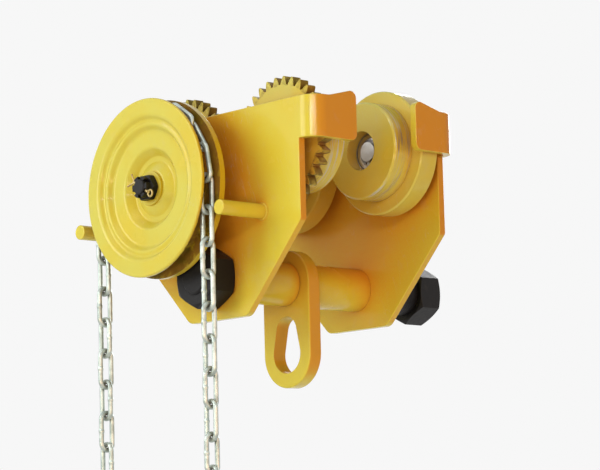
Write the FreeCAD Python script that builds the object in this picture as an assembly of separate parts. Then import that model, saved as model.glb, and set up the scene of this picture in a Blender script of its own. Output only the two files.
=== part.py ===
"""Geared beam trolley with a hand chain, built piece by piece in millimetres.

X runs along the beam, Y across it and Z up. The origin lies on the beam's centre line,
on the plane that the wheel treads roll on. The geared side of the trolley faces -Y.
"""
import FreeCAD, Part
import math
import os

os.makedirs("parts", exist_ok=True)
V = FreeCAD.Vector
AXIS_X = V(1, 0, 0)
AXIS_Y = V(0, 1, 0)
ORIGIN = V(0, 0, 0)
FRONT = -1
REAR = 1
LEFT = -1
RIGHT = 1
HEX_SIDES = 6
MATCH = 0.01

# Running clearances and seats
running_clearance = 0.06
side_play = 0.3
chain_play = 0.85
groove_clearance = 0.4
seat_clearance = 0.02
blind_seat_depth = 5.0

# Side plates
plate_gap = 184.0
plate_thickness = 8.0
plate_rise = 33.7
shoulder_lift = 45.3
plate_below_shaft = 41.4
plate_bottom_width = 87.0
bottom_corner_round = 12.0
shoulder_round = 6.0
plate_edge_round = 0.9

# End tabs, bent inwards from the plates
tab_height = 42.0
tab_rise = 9.3
tab_rise_start = 5.0
tab_rise_round = 25.0
tab_inner_bend = 10.0
tab_reach = 59.0
tab_corner_round = 7.0
tab_gear_gap = 1.75
tab_relief_step = 3.0

# Wheels and their toothed flanges
tread_radius = 50.0
tread_width = 24.4
tread_chamfer = 2.0
wheel_gear_module = 3.75
wheel_gear_teeth = 32
wheel_gear_width = 18.0
wheel_tooth_width = 10.5
wheel_shoulder_step = 1.3
wheel_gear_gap = 15.6
wheel_gear_phase_deg = 128.5
idle_flange_width = 23.6
idle_rim_wall = 11.0
idle_web_slope = 5.0
flange_edge_chamfer = 1.5
wheel_lip_radius = 20.0

# Wheel bearings and axles
bearing_bore_radius = 10.0
bearing_outer_radius = 23.5
bearing_width = 14.0
bearing_ball_radius = 3.97
bearing_ball_count = 8
bearing_row_count = 2
inner_race_wall = 4.4
outer_race_wall = 4.4
bearing_inset = 1.0
axle_collar_radius = 18.0
axle_collar_gap = 4.0
axle_shoulder_wall = 3.6
axle_spigot_radius = 11.0
axle_end_length = 2.9
circlip_thickness = 1.2
circlip_rim = 3.0
circlip_seat_depth = 0.8
circlip_gap_angle = 50.0

# Gear train between the chain wheel and the two toothed wheels
pressure_angle_deg = 25.0
tooth_thinning = 0.16
root_clearance = 0.25
wheel_pinion_teeth = 12
drive_module = 2.0
drive_gear_teeth = 20
drive_pinion_teeth = 15
drive_gear_width = 10.0
drive_gear_plate_gap = 1.2
intermediate_drop = 38.43
drive_tilt_deg = 4.2
intermediate_axle_radius = 8.0
intermediate_bush_wall = 2.0
intermediate_sleeve_wall = 2.5
intermediate_neck_radius = 16.0
intermediate_collar_radius = 13.0
intermediate_spigot_radius = 7.0
intermediate_end_length = 1.0

# Drive shaft and its bearing housing
shaft_bush_radius = 11.0
shaft_wheel_radius = 10.0
shaft_thread_radius = 8.0
shaft_pinion_radius = 8.0
shaft_tip_length = 1.2
shaft_thread_chamfer = 1.0
drive_bush_wall = 3.0
housing_boss_radius = 22.0
housing_spigot_radius = 18.0
housing_flange_radius = 40.0
housing_flange_thickness = 8.0
housing_bolt_circle_radius = 31.0
housing_bolt_count = 4
thrust_washer_radius = 19.0
thrust_washer_thickness = 3.0
key_width = 5.0
key_height = 5.0
key_end_margin = 2.5

# Hand chain wheel
wheel_offset = 64.0
chain_sides = 16
rim_cover = 8.8
front_flange_thickness = 3.4
rear_flange_thickness = 8.0
rim_land = 16.7
rim_back_land = 25.9
dish_lip_slope = 4.5
dish_channel_depth = 5.0
dish_ridge_slope = 5.2
dish_ridge_depth = 3.4
dish_floor_slope = 5.0
dish_floor_depth = 9.0
hub_recess_slope = 8.0
hub_recess_depth = 17.0
hub_recess_width = 5.0
hub_radius = 28.0
hub_nose_radius = 19.0
hub_front_depth = 11.0
hub_length = 25.0
web_thickness = 7.0
rim_edge_round = 1.6
rim_lip_round = 5.0
dish_channel_round = 3.0
dish_ridge_round = 3.0
dish_floor_round = 4.0
hub_edge_round = 2.5
back_web_round = 3.0

# Hub fastening
castle_turn_deg = 30.0
hub_washer_radius = 17.0
hub_washer_thickness = 2.5
castle_nut_flats = 24.0
castle_nut_height = 14.0
castle_crown_height = 6.5
castle_crown_radius = 11.0
castle_slot_width = 4.5
castle_slot_count = 6
cotter_radius = 1.9
cotter_head_radius = 4.2
cotter_leg_length = 9.0
cotter_leg_lean = 0.35
cotter_leg_spread_deg = 55.0

# Hand chain
chain_wire = 5.0
chain_inner_length = 32.5
chain_inner_width = 8.5
chain_fall_links = 10

# Chain guide pins and the strap that carries the outer one
guide_pin_radius = 7.5
guide_pin_length = 56.0
guide_pin_drop = 32.3
guide_gap = 6.5
guide_pin_spigot_radius = 5.0
guide_pin_end_round = 1.0
strap_thickness = 8.0
strap_height = 26.0
strap_bolt_spacing = 20.0
strap_bolt_edge = 11.0

# Bolts that hold the housing and the strap
bolt_radius = 4.0
bolt_head_flats = 13.0
bolt_head_height = 5.3
bolt_end_inset = 0.5

# Suspension shaft, nuts and spacers
shaft_drop = 82.3
suspension_radius = 18.0
suspension_nut_flats = 55.0
suspension_nut_height = 29.0
suspension_end_length = 2.5
suspension_end_chamfer = 2.0
nut_chamfer_deg = 30.0
spacer_radius = 22.5
spare_ring_count = 6
spare_ring_width = 10.2

# Load eye
eye_thickness = 16.0
eye_radius = 35.0
eye_length = 71.0
eye_hole_radius = 20.0
eye_hole_top_radius = 15.0
eye_hole_span = 23.0
eye_edge_round = 2.0

# Positions worked out from the driving dimensions
plate_inner = plate_gap / 2
plate_outer = plate_inner + plate_thickness
axle_height = tread_radius
plate_top = axle_height + plate_rise
plate_bottom = -shaft_drop - plate_below_shaft
plate_shoulder = -shaft_drop + shoulder_lift

wheel_gear_radius = wheel_gear_module * wheel_gear_teeth / 2
wheel_gear_tip = wheel_gear_radius + wheel_gear_module
wheel_pinion_radius = wheel_gear_module * wheel_pinion_teeth / 2
wheel_mesh_distance = wheel_gear_radius + wheel_pinion_radius
wheel_half_base = math.sqrt(wheel_mesh_distance ** 2 - intermediate_drop ** 2)
intermediate_height = axle_height - intermediate_drop
drive_mesh_distance = drive_module * (drive_gear_teeth + drive_pinion_teeth) / 2
drive_tilt = math.radians(drive_tilt_deg)
drive_x = -drive_mesh_distance * math.cos(drive_tilt)
drive_height = intermediate_height - drive_mesh_distance * math.sin(drive_tilt)

tab_inner = wheel_half_base + wheel_gear_tip + tab_gear_gap
tab_outer = tab_inner + plate_thickness
tab_root = tab_inner - tab_inner_bend
plate_half_length = tab_root - tab_relief_step

gear_face = plate_inner - wheel_gear_gap
gear_back = gear_face - wheel_gear_width
teeth_back = gear_face - wheel_tooth_width
wheel_gear_root = wheel_gear_radius - wheel_gear_module * (1 + root_clearance)
wheel_shoulder_radius = wheel_gear_root - wheel_shoulder_step
tread_end = gear_back - tread_width
bearing_face = gear_face - bearing_inset
bearing_back = bearing_face - bearing_row_count * bearing_width

drive_gear_face = plate_inner - drive_gear_plate_gap
drive_gear_back = drive_gear_face - drive_gear_width

link_spacing = chain_inner_length - chain_play
link_half_width = chain_inner_width / 2 + chain_wire
chain_radius = link_spacing / (2 * math.sin(math.pi / chain_sides))
chain_chord_radius = chain_radius * math.cos(math.pi / chain_sides)
groove_width = 2 * (link_half_width + groove_clearance)
slot_width = chain_wire + 2 * groove_clearance
rim_radius = chain_radius + rim_cover
rim_back_radius = rim_radius - rim_back_land
dish_ring_radius = rim_radius - rim_land
dish_channel_radius = dish_ring_radius - dish_lip_slope
dish_ridge_radius = dish_channel_radius - dish_ridge_slope
dish_floor_radius = dish_ridge_radius - dish_floor_slope
hub_recess_radius = hub_radius + hub_recess_width
dish_floor_inner_radius = hub_recess_radius + hub_recess_slope
wheel_front = -plate_outer - wheel_offset
wheel_width = front_flange_thickness + groove_width + rear_flange_thickness
chain_plane = wheel_front + front_flange_thickness + groove_width / 2
hub_front = wheel_front + hub_front_depth
hub_back = hub_front + hub_length
housing_end = hub_back + thrust_washer_thickness + side_play

guide_pin_offset = chain_radius + link_half_width + guide_gap + guide_pin_radius
inner_pin_x = drive_x + guide_pin_offset
outer_pin_x = drive_x - guide_pin_offset
guide_pin_height = drive_height - guide_pin_drop

CORNERS = {
    "front_left": (FRONT, LEFT),
    "front_right": (FRONT, RIGHT),
    "rear_left": (REAR, LEFT),
    "rear_right": (REAR, RIGHT),
}


def save(name, shapes):
    """Write one node, a solid or a group of separate solids, to its own file."""
    shape = shapes if isinstance(shapes, Part.Shape) else Part.makeCompound(shapes)
    shape.exportStep("parts/" + name + ".step")


def rod(radius, start, end, x=0.0, z=0.0):
    """Solid cylinder along Y between two Y positions, in either order."""
    low = min(start, end)
    return Part.makeCylinder(radius, abs(end - start), V(x, low, z), AXIS_Y)


def ring(outer, inner, start, end, x=0.0, z=0.0):
    """Plain ring along Y."""
    return rod(outer, start, end, x, z).cut(rod(inner, start, end, x, z))


def block(x0, x1, y0, y1, z0, z1):
    """Box between two corners, given as pairs in either order."""
    low = V(min(x0, x1), min(y0, y1), min(z0, z1))
    return Part.makeBox(abs(x1 - x0), abs(y1 - y0), abs(z1 - z0), low)


def rounded_corner(before, here, after, radius):
    """Start, middle and end of the arc that rounds one corner of an outline."""
    back = (before - here).normalize()
    ahead = (after - here).normalize()
    half_angle = back.getAngle(ahead) / 2
    reach = radius / math.tan(half_angle)
    inward = (back + ahead).normalize()
    nearest = radius / math.sin(half_angle) - radius
    return here + back * reach, here + inward * nearest, here + ahead * reach


def outline(profile):
    """Closed wire through (radius, y) points, where a third value rounds that corner."""
    points = [V(point[0], point[1], 0) for point in profile]
    corners = []
    for k, point in enumerate(profile):
        after = points[(k + 1) % len(points)]
        if len(point) == 3:
            corners.append(rounded_corner(points[k - 1], points[k], after, point[2]))
        else:
            corners.append((points[k], points[k], points[k]))
    edges = []
    for k, (start, middle, end) in enumerate(corners):
        if start != end:
            edges.append(Part.Arc(start, middle, end).toShape())
        edges.append(Part.makeLine(end, corners[(k + 1) % len(corners)][0]))
    return Part.Wire(edges)


def turned(profile, x=0.0, z=0.0):
    """Solid turned about a Y axis from a closed outline of (radius, y) points."""
    solid = Part.Face(outline(profile)).revolve(ORIGIN, AXIS_Y, 360)
    solid.translate(V(x, 0, z))
    return solid


def prism(points, start, end):
    """Straight solid along Y from an outline of (x, z) points."""
    outline = [V(x, start, z) for x, z in points]
    return Part.Face(Part.makePolygon(outline + outline[:1])).extrude(V(0, end - start, 0))


def hexagon_corner(flats):
    """Distance from a hexagon's centre to its corners."""
    return flats / 2 / math.cos(math.pi / HEX_SIDES)


def hexagon(flats, start, end, x, z, first_corner_deg=90.0):
    """Hexagonal prism along Y, with one corner at the given angle from +X towards +Z."""
    corner = hexagon_corner(flats)
    step = 360 / HEX_SIDES
    angles = [math.radians(first_corner_deg + step * k) for k in range(HEX_SIDES)]
    return prism([(x + corner * math.cos(a), z + corner * math.sin(a)) for a in angles], start, end)


def chamfered_hexagon(flats, start, end, x, z):
    """Hexagon whose corners are turned off at both ends, as on a forged nut."""
    corner = hexagon_corner(flats)
    flat = flats / 2
    drop = (corner - flat) * math.tan(math.radians(nut_chamfer_deg))
    low, high = min(start, end), max(start, end)
    blank = turned([
        (0, low), (flat, low), (corner, low + drop), (corner, high - drop), (flat, high), (0, high),
    ], x, z)
    return hexagon(flats, low, high, x, z).common(blank)


def circlip(shaft_radius, start, end, x, z):
    """Open retaining ring that sits in a groove of the shaft."""
    seat = shaft_radius - circlip_seat_depth
    reach = shaft_radius + circlip_rim
    half_gap = reach * math.tan(math.radians(circlip_gap_angle / 2))
    mouth = prism([(x, z), (x + half_gap, z - reach), (x - half_gap, z - reach)], start, end)
    return ring(reach, seat, start, end, x, z).cut(mouth)


def involute(base, radius):
    """Polar angle of an involute at a radius, from its start on the base circle."""
    pressure = math.acos(min(1.0, base / radius))
    return math.tan(pressure) - pressure


def gear(module, teeth, phase, start, end, x, z):
    """Spur gear along Y, with one tooth centred at the phase angle from +X towards +Z."""
    pressure = math.radians(pressure_angle_deg)
    pitch = module * teeth / 2
    base = pitch * math.cos(pressure)
    tip = pitch + module
    root = pitch - module * (1 + root_clearance)
    foot = max(base, root)
    half = (math.pi * module / 2 - tooth_thinning) / (2 * pitch) + involute(base, pitch)
    low = min(start, end)

    def at(radius, angle):
        return V(x + radius * math.cos(angle), low, z + radius * math.sin(angle))

    edges = []
    for tooth in range(teeth):
        centre = phase + 2 * math.pi * tooth / teeth
        after = centre + 2 * math.pi / teeth
        middle = (foot + tip) / 2
        flank = [(r, half - involute(base, r)) for r in (foot, middle, tip)]
        foot_half = flank[0][1]
        if foot > root:
            edges.append(Part.makeLine(at(root, centre - foot_half), at(foot, centre - foot_half)))
        edges.append(Part.Arc(*[at(r, centre - a) for r, a in flank]).toShape())
        tip_half = flank[-1][1]
        land = [at(tip, centre - tip_half), at(tip, centre), at(tip, centre + tip_half)]
        edges.append(Part.Arc(*land).toShape())
        edges.append(Part.Arc(*[at(r, centre + a) for r, a in reversed(flank)]).toShape())
        if foot > root:
            edges.append(Part.makeLine(at(foot, centre + foot_half), at(root, centre + foot_half)))
        valley = (centre + after) / 2
        floor = [at(root, centre + foot_half), at(root, valley), at(root, after - foot_half)]
        edges.append(Part.Arc(*floor).toShape())
    return Part.Face(Part.Wire(edges)).extrude(V(0, abs(end - start), 0))


def mating_phase(phase, teeth, direction, mate_teeth):
    """Phase of a gear that meshes with another, seen along the direction towards the mate."""
    shift = teeth / mate_teeth * (direction - phase)
    return direction + math.pi + shift - math.pi / mate_teeth


def direction_between(x0, z0, x1, z1):
    """Angle from +X towards +Z of the line from one axis to another."""
    return math.atan2(z1 - z0, x1 - x0)


def bolt(x, z, head_seat, end):
    """Hexagon screw along Y, with its head outside the seat and its end inside the plate."""
    outward = -1 if head_seat < end else 1
    head = chamfered_hexagon(bolt_head_flats, head_seat, head_seat + outward * bolt_head_height, x, z)
    return head.fuse(rod(bolt_radius, head_seat, end, x, z))


def bolt_holes(places, start, end):
    """Clearance holes for bolts at a list of (x, z) places."""
    return [rod(bolt_radius + seat_clearance, start, end, x, z) for x, z in places]


def housing_bolt_places():
    """Bolt places around the drive shaft."""
    places = []
    for k in range(housing_bolt_count):
        angle = 2 * math.pi * (k + 0.5) / housing_bolt_count
        places.append((drive_x + housing_bolt_circle_radius * math.cos(angle),
                       drive_height + housing_bolt_circle_radius * math.sin(angle)))
    return places


def strap_bolt_places():
    """Bolt places of the guide strap, on the plate's left end."""
    first = -plate_half_length + strap_bolt_edge
    return [(first + k * strap_bolt_spacing, guide_pin_height) for k in range(2)]


def wheel_places():
    """Axle places of the two wheels on one side."""
    return [(end * wheel_half_base, axle_height) for end in (LEFT, RIGHT)]


# Side plates
def flat_plate(side):
    """Plate outline: straight top, upright ends and a taper down to the suspension shaft."""
    tab_low = plate_top - tab_height
    half = [
        (tab_root, plate_top),
        (tab_root, tab_low),
        (plate_half_length, tab_low),
        (plate_half_length, plate_shoulder),
        (plate_bottom_width / 2, plate_bottom),
    ]
    points = half + [(-x, z) for x, z in reversed(half)]
    plate = prism(points, side * plate_inner, side * plate_outer)
    rounds = {
        (plate_half_length, plate_shoulder): shoulder_round,
        (plate_bottom_width / 2, plate_bottom): bottom_corner_round,
    }
    for (x, z), radius in rounds.items():
        edges = [e for e in plate.Edges
                 if abs(abs(e.CenterOfMass.x) - x) < MATCH and abs(e.CenterOfMass.z - z) < MATCH]
        plate = plate.makeFillet(radius, edges)
    return plate


def end_tab(side, end):
    """Bend and tab at one end of a plate, which rises to its free end and is rounded there."""
    outer_bend = tab_inner_bend + plate_thickness
    centre_y = side * (plate_outer - outer_bend)
    free_y = side * (plate_outer - tab_reach)
    low = plate_top - tab_height
    root = end * tab_root
    c45 = math.sqrt(0.5)

    def at(x, y):
        return V(x, y, low)

    def on_bend(radius):
        return at(root + end * radius * c45, centre_y + side * radius * c45)

    outer, inner = end * tab_outer, end * tab_inner
    wire = Part.Wire([
        Part.Arc(at(root, side * plate_outer), on_bend(outer_bend), at(outer, centre_y)).toShape(),
        Part.makeLine(at(outer, centre_y), at(outer, free_y)),
        Part.makeLine(at(outer, free_y), at(inner, free_y)),
        Part.makeLine(at(inner, free_y), at(inner, centre_y)),
        Part.Arc(at(inner, centre_y), on_bend(tab_inner_bend), at(root, side * plate_inner)).toShape(),
        Part.makeLine(at(root, side * plate_inner), at(root, side * plate_outer)),
    ])
    tab = Part.Face(wire).extrude(V(0, 0, tab_height + tab_rise))
    rise_y = centre_y - side * tab_rise_start
    tab = tab.cut(tab_top_wedge(side, end, rise_y, free_y))
    kink = [e for e in tab.Edges
            if abs(e.CenterOfMass.y - rise_y) < MATCH and abs(e.CenterOfMass.z - plate_top) < MATCH]
    tab = tab.makeFillet(tab_rise_round, kink)
    corners = [e for e in tab.Edges
               if abs(e.CenterOfMass.y - free_y) < MATCH and abs(e.Length - plate_thickness) < MATCH]
    return tab.makeFillet(tab_corner_round, corners)


def tab_top_wedge(side, end, rise_y, free_y):
    """Space above a tab's top edge, which is level past the bend and then rises to the free end."""
    high = plate_top + tab_rise
    points = [
        (side * plate_outer, plate_top), (rise_y, plate_top), (free_y, high),
        (free_y, high + plate_thickness), (side * plate_outer, high + plate_thickness),
    ]
    start = end * (tab_root - plate_thickness)
    corners = [V(start, y, z) for y, z in points]
    face = Part.Face(Part.makePolygon(corners + corners[:1]))
    return face.extrude(V(end * (tab_outer + plate_thickness) - start, 0, 0))


def side_plate(side):
    """Whole side plate with its tabs, shaft hole and the seats of its axles."""
    plate = flat_plate(side).fuse([end_tab(side, LEFT), end_tab(side, RIGHT)]).removeSplitter()
    skin_edges = [e for e in plate.Edges if abs(e.Length - plate_thickness) > MATCH]
    plate = plate.makeFillet(plate_edge_round, skin_edges)
    seat_end = side * (plate_inner + blind_seat_depth)
    cuts = [rod(suspension_radius + seat_clearance, side * plate_inner, side * plate_outer, 0, -shaft_drop)]
    for x, z in wheel_places():
        cuts.append(rod(axle_spigot_radius + seat_clearance, side * plate_inner, seat_end, x, z))
    if side == FRONT:
        cuts.append(rod(housing_spigot_radius + seat_clearance, -plate_inner, -plate_outer,
                        drive_x, drive_height))
        cuts.append(rod(intermediate_spigot_radius + seat_clearance, -plate_inner, seat_end,
                        0, intermediate_height))
        pin_seat_end = -plate_outer + blind_seat_depth
        cuts.append(rod(guide_pin_spigot_radius + seat_clearance, -plate_outer, pin_seat_end,
                        inner_pin_x, guide_pin_height))
        cuts += bolt_holes(housing_bolt_places() + strap_bolt_places(), -plate_outer, -plate_inner)
    return plate.cut(cuts)


# Track wheels
def wheel_bore(side, x, z):
    """Stepped space in a wheel for its bearings and the axle's end."""
    pocket = rod(bearing_outer_radius + seat_clearance, side * gear_face, side * bearing_back, x, z)
    mouth = rod(wheel_lip_radius, side * bearing_back, side * tread_end, x, z)
    return [pocket, mouth]


def tread(side, start, x, z):
    """Rolling surface of a wheel, chamfered at its free end."""
    radius = tread_radius
    return turned([
        (0, side * start), (radius, side * start), (radius, side * (tread_end + tread_chamfer)),
        (radius - tread_chamfer, side * tread_end), (0, side * tread_end),
    ], x, z)


def drive_wheel(end, phase):
    """Track wheel whose flange is a spur gear, with a plain shoulder behind the teeth."""
    x, z = end * wheel_half_base, axle_height
    toothed = gear(wheel_gear_module, wheel_gear_teeth, phase, -gear_face, -teeth_back, x, z)
    shoulder = rod(wheel_shoulder_radius, -teeth_back, -gear_back, x, z)
    wheel = toothed.fuse([shoulder, tread(FRONT, gear_back, x, z)]).removeSplitter()
    return wheel.cut(wheel_bore(FRONT, x, z))


def idle_wheel(end):
    """Track wheel with a plain round flange, whose web lies deeper than its rim."""
    x, z = end * wheel_half_base, axle_height
    face = gear_back + idle_flange_width
    edge = flange_edge_chamfer
    radius = wheel_gear_tip
    rim_inner = radius - idle_rim_wall
    flange = turned([
        (0, gear_back), (radius - edge, gear_back), (radius, gear_back + edge),
        (radius, face - edge), (radius - edge, face), (rim_inner, face),
        (rim_inner - idle_web_slope, gear_face), (0, gear_face),
    ], x, z)
    wheel = flange.fuse(tread(REAR, gear_back, x, z)).removeSplitter()
    return wheel.cut(wheel_bore(REAR, x, z))


def bearing_rows(side):
    """Y positions of the start and end of each bearing row, from the plate inwards."""
    return [(side * (bearing_face - k * bearing_width), side * (bearing_face - (k + 1) * bearing_width))
            for k in range(bearing_row_count)]


def ball_circle_radius():
    """Radius of the circle through the ball centres."""
    return (bearing_bore_radius + bearing_outer_radius) / 2


def grooved_race(outer, inner, groove_radius, start, end, x, z):
    """Bearing race with a round ball groove."""
    groove = Part.makeTorus(ball_circle_radius(), groove_radius, V(x, (start + end) / 2, z), AXIS_Y)
    return ring(outer, inner, start, end, x, z).cut(groove)


def inner_races(side, x, z):
    """Inner races of one wheel's bearings."""
    bore = bearing_bore_radius + seat_clearance
    outer = bearing_bore_radius + inner_race_wall
    groove = bearing_ball_radius + seat_clearance
    return [grooved_race(outer, bore, groove, a, b, x, z) for a, b in bearing_rows(side)]


def outer_races(side, x, z):
    """Outer races of one wheel's bearings."""
    bore = bearing_outer_radius - outer_race_wall
    groove = bearing_ball_radius + side_play
    return [grooved_race(bearing_outer_radius, bore, groove, a, b, x, z) for a, b in bearing_rows(side)]


def bearing_balls(side, x, z):
    """Balls of one wheel's bearings."""
    balls = []
    for start, end in bearing_rows(side):
        for k in range(bearing_ball_count):
            angle = 2 * math.pi * k / bearing_ball_count
            centre = V(x + ball_circle_radius() * math.cos(angle), (start + end) / 2,
                       z + ball_circle_radius() * math.sin(angle))
            balls.append(Part.makeSphere(bearing_ball_radius, centre))
    return balls


def axle_end(side):
    """Y position of an axle's free end."""
    return side * (bearing_back - circlip_thickness - axle_end_length)


def wheel_axle(side, x, z):
    """Axle seated in its plate, with a shoulder for the bearing and a groove for the circlip."""
    groove = bearing_bore_radius - circlip_seat_depth
    shoulder = bearing_bore_radius + axle_shoulder_wall
    collar_end = gear_face + axle_collar_gap
    clip = bearing_back - circlip_thickness
    profile = [
        (0, plate_inner + blind_seat_depth), (axle_spigot_radius, plate_inner + blind_seat_depth),
        (axle_spigot_radius, plate_inner), (axle_collar_radius, plate_inner),
        (axle_collar_radius, collar_end), (shoulder, collar_end), (shoulder, bearing_face),
        (bearing_bore_radius, bearing_face), (bearing_bore_radius, bearing_back),
        (groove, bearing_back), (groove, clip), (bearing_bore_radius, clip),
        (bearing_bore_radius, abs(axle_end(side))), (0, abs(axle_end(side))),
    ]
    return turned([(radius, side * y) for radius, y in profile], x, z)


# Intermediate gears
def intermediate_pinion(phase):
    """Pinion that drives both toothed wheels, with the neck that carries the larger gear."""
    bore = intermediate_axle_radius + intermediate_bush_wall
    x, z = 0.0, intermediate_height
    pinion = gear(wheel_gear_module, wheel_pinion_teeth, phase, -gear_face, -gear_back, x, z)
    neck = rod(intermediate_neck_radius, -drive_gear_back, -gear_face, x, z)
    sleeve = rod(bore + intermediate_sleeve_wall, -drive_gear_face, -drive_gear_back, x, z)
    return pinion.fuse([neck, sleeve]).removeSplitter().cut(rod(bore, -drive_gear_face, -gear_back, x, z))


def intermediate_gear(phase):
    """Gear on the pinion's sleeve, driven by the chain wheel's pinion."""
    x, z = 0.0, intermediate_height
    bore = intermediate_axle_radius + intermediate_bush_wall + intermediate_sleeve_wall
    toothed = gear(drive_module, drive_gear_teeth, phase, -drive_gear_face, -drive_gear_back, x, z)
    return toothed.cut(rod(bore + seat_clearance, -drive_gear_face, -drive_gear_back, x, z))


def intermediate_axle():
    """Stub axle of the intermediate gears, seated in the front plate."""
    radius = intermediate_axle_radius
    groove = radius - circlip_seat_depth
    clip_start = gear_back - side_play
    clip_end = clip_start - circlip_thickness
    end = clip_end - intermediate_end_length
    collar_end = drive_gear_face + side_play
    profile = [
        (0, plate_inner + blind_seat_depth), (intermediate_spigot_radius, plate_inner + blind_seat_depth),
        (intermediate_spigot_radius, plate_inner), (intermediate_collar_radius, plate_inner),
        (intermediate_collar_radius, collar_end), (radius, collar_end), (radius, clip_start),
        (groove, clip_start), (groove, clip_end), (radius, clip_end), (radius, end), (0, end),
    ]
    return turned([(r, -y) for r, y in profile], 0, intermediate_height)


# Drive shaft, housing and chain wheel
def drive_shaft_ends():
    """Y positions of the shaft's front end and of its end behind the pinion."""
    front = hub_front - hub_washer_thickness - castle_nut_height - shaft_tip_length
    back = -drive_gear_back + circlip_thickness + shaft_tip_length
    return front, back


def key_blocks():
    """Parallel keys of the chain wheel and of the drive pinion, on top of the shaft."""
    blocks = {}
    spans = {
        "chain_wheel_key": (shaft_wheel_radius, hub_front, hub_back),
        "drive_pinion_key": (shaft_pinion_radius, -drive_gear_face, -drive_gear_back),
    }
    for name, (radius, start, end) in spans.items():
        top = drive_height + radius + key_height / 2
        blocks[name] = block(drive_x - key_width / 2, drive_x + key_width / 2,
                             start + key_end_margin, end - key_end_margin, top - key_height, top)
    return blocks


def drive_shaft():
    """Stepped shaft from the castle nut's thread to the drive pinion."""
    front, back = drive_shaft_ends()
    clip = -drive_gear_back
    groove = shaft_pinion_radius - circlip_seat_depth
    profile = [
        (0, front), (shaft_thread_radius - shaft_thread_chamfer, front),
        (shaft_thread_radius, front + shaft_thread_chamfer),
        (shaft_thread_radius, hub_front), (shaft_wheel_radius, hub_front), (shaft_wheel_radius, hub_back),
        (shaft_bush_radius, hub_back), (shaft_bush_radius, -drive_gear_face),
        (shaft_pinion_radius, -drive_gear_face), (shaft_pinion_radius, clip), (groove, clip),
        (groove, clip + circlip_thickness), (shaft_pinion_radius, clip + circlip_thickness),
        (shaft_pinion_radius, back), (0, back),
    ]
    return turned(profile, drive_x, drive_height).cut(list(key_blocks().values()) + [cotter_hole()])


def chain_wheel():
    """Dished chain wheel with a plain groove: shoulders for flat links and a slot for upright ones."""
    shoulder = chain_chord_radius - chain_wire / 2 - groove_clearance
    slot = chain_chord_radius - link_half_width - groove_clearance
    groove_start = front_flange_thickness
    groove_end = groove_start + groove_width
    middle = (groove_start + groove_end) / 2
    bore = shaft_wheel_radius + seat_clearance
    edge = rim_edge_round
    hub_end = hub_front_depth + hub_length
    profile = [
        (bore, hub_front_depth), (hub_nose_radius, hub_front_depth, hub_edge_round),
        (hub_radius, hub_recess_depth, hub_edge_round),
        (hub_recess_radius, hub_recess_depth, hub_edge_round),
        (dish_floor_inner_radius, dish_floor_depth, dish_floor_round),
        (dish_floor_radius, dish_floor_depth, dish_floor_round),
        (dish_ridge_radius, dish_ridge_depth, dish_ridge_round),
        (dish_channel_radius, dish_channel_depth, dish_channel_round),
        (dish_ring_radius, 0, rim_lip_round), (rim_radius, 0, edge),
        (rim_radius, groove_start), (shoulder, groove_start), (shoulder, middle - slot_width / 2),
        (slot, middle - slot_width / 2), (slot, middle + slot_width / 2), (shoulder, middle + slot_width / 2),
        (shoulder, groove_end), (rim_radius, groove_end), (rim_radius, wheel_width, edge),
        (rim_back_radius, wheel_width, back_web_round),
        (dish_floor_radius, dish_floor_depth + web_thickness, back_web_round),
        (dish_floor_inner_radius, dish_floor_depth + web_thickness, back_web_round),
        (hub_recess_radius, hub_recess_depth + web_thickness, back_web_round),
        (hub_radius, hub_recess_depth + web_thickness), (hub_radius, hub_end), (bore, hub_end),
    ]
    placed = [(radius, wheel_front + depth, *corner) for radius, depth, *corner in profile]
    wheel = turned(placed, drive_x, drive_height)
    return wheel.cut(key_blocks()["chain_wheel_key"])


def drive_pinion(phase):
    """Pinion keyed to the shaft behind the plate."""
    start, end = -drive_gear_face, -drive_gear_back
    toothed = gear(drive_module, drive_pinion_teeth, phase, start, end, drive_x, drive_height)
    bore = rod(shaft_pinion_radius + seat_clearance, start, end, drive_x, drive_height)
    return toothed.cut([bore, key_blocks()["drive_pinion_key"]])


def drive_housing():
    """Flanged housing on the front plate that carries the drive shaft's bush."""
    flange_face = -plate_outer - housing_flange_thickness
    bush_radius = shaft_bush_radius + running_clearance + drive_bush_wall
    body = turned([
        (0, -plate_inner), (housing_spigot_radius, -plate_inner), (housing_spigot_radius, -plate_outer),
        (housing_flange_radius, -plate_outer), (housing_flange_radius, flange_face),
        (housing_boss_radius, flange_face), (housing_boss_radius, housing_end), (0, housing_end),
    ], drive_x, drive_height)
    bore = rod(bush_radius + seat_clearance, -plate_inner, housing_end, drive_x, drive_height)
    return body.cut([bore] + bolt_holes(housing_bolt_places(), -plate_outer, flange_face))


def cotter_axis():
    """Y position of the cotter's centre line, midway down the nut's slots."""
    return hub_front - hub_washer_thickness - castle_nut_height + castle_crown_height / 2


def turned_with_nut(shape):
    """Turn a piece about the drive shaft to the angle that the castle nut stands at."""
    shape.rotate(V(drive_x, 0, drive_height), AXIS_Y, castle_turn_deg)
    return shape


def cotter_hole():
    """Cross hole in the shaft for the cotter."""
    reach = 2 * shaft_thread_radius
    hole = Part.makeCylinder(cotter_radius + seat_clearance, 2 * reach,
                             V(drive_x - reach, cotter_axis(), drive_height), AXIS_X)
    return turned_with_nut(hole)


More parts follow.
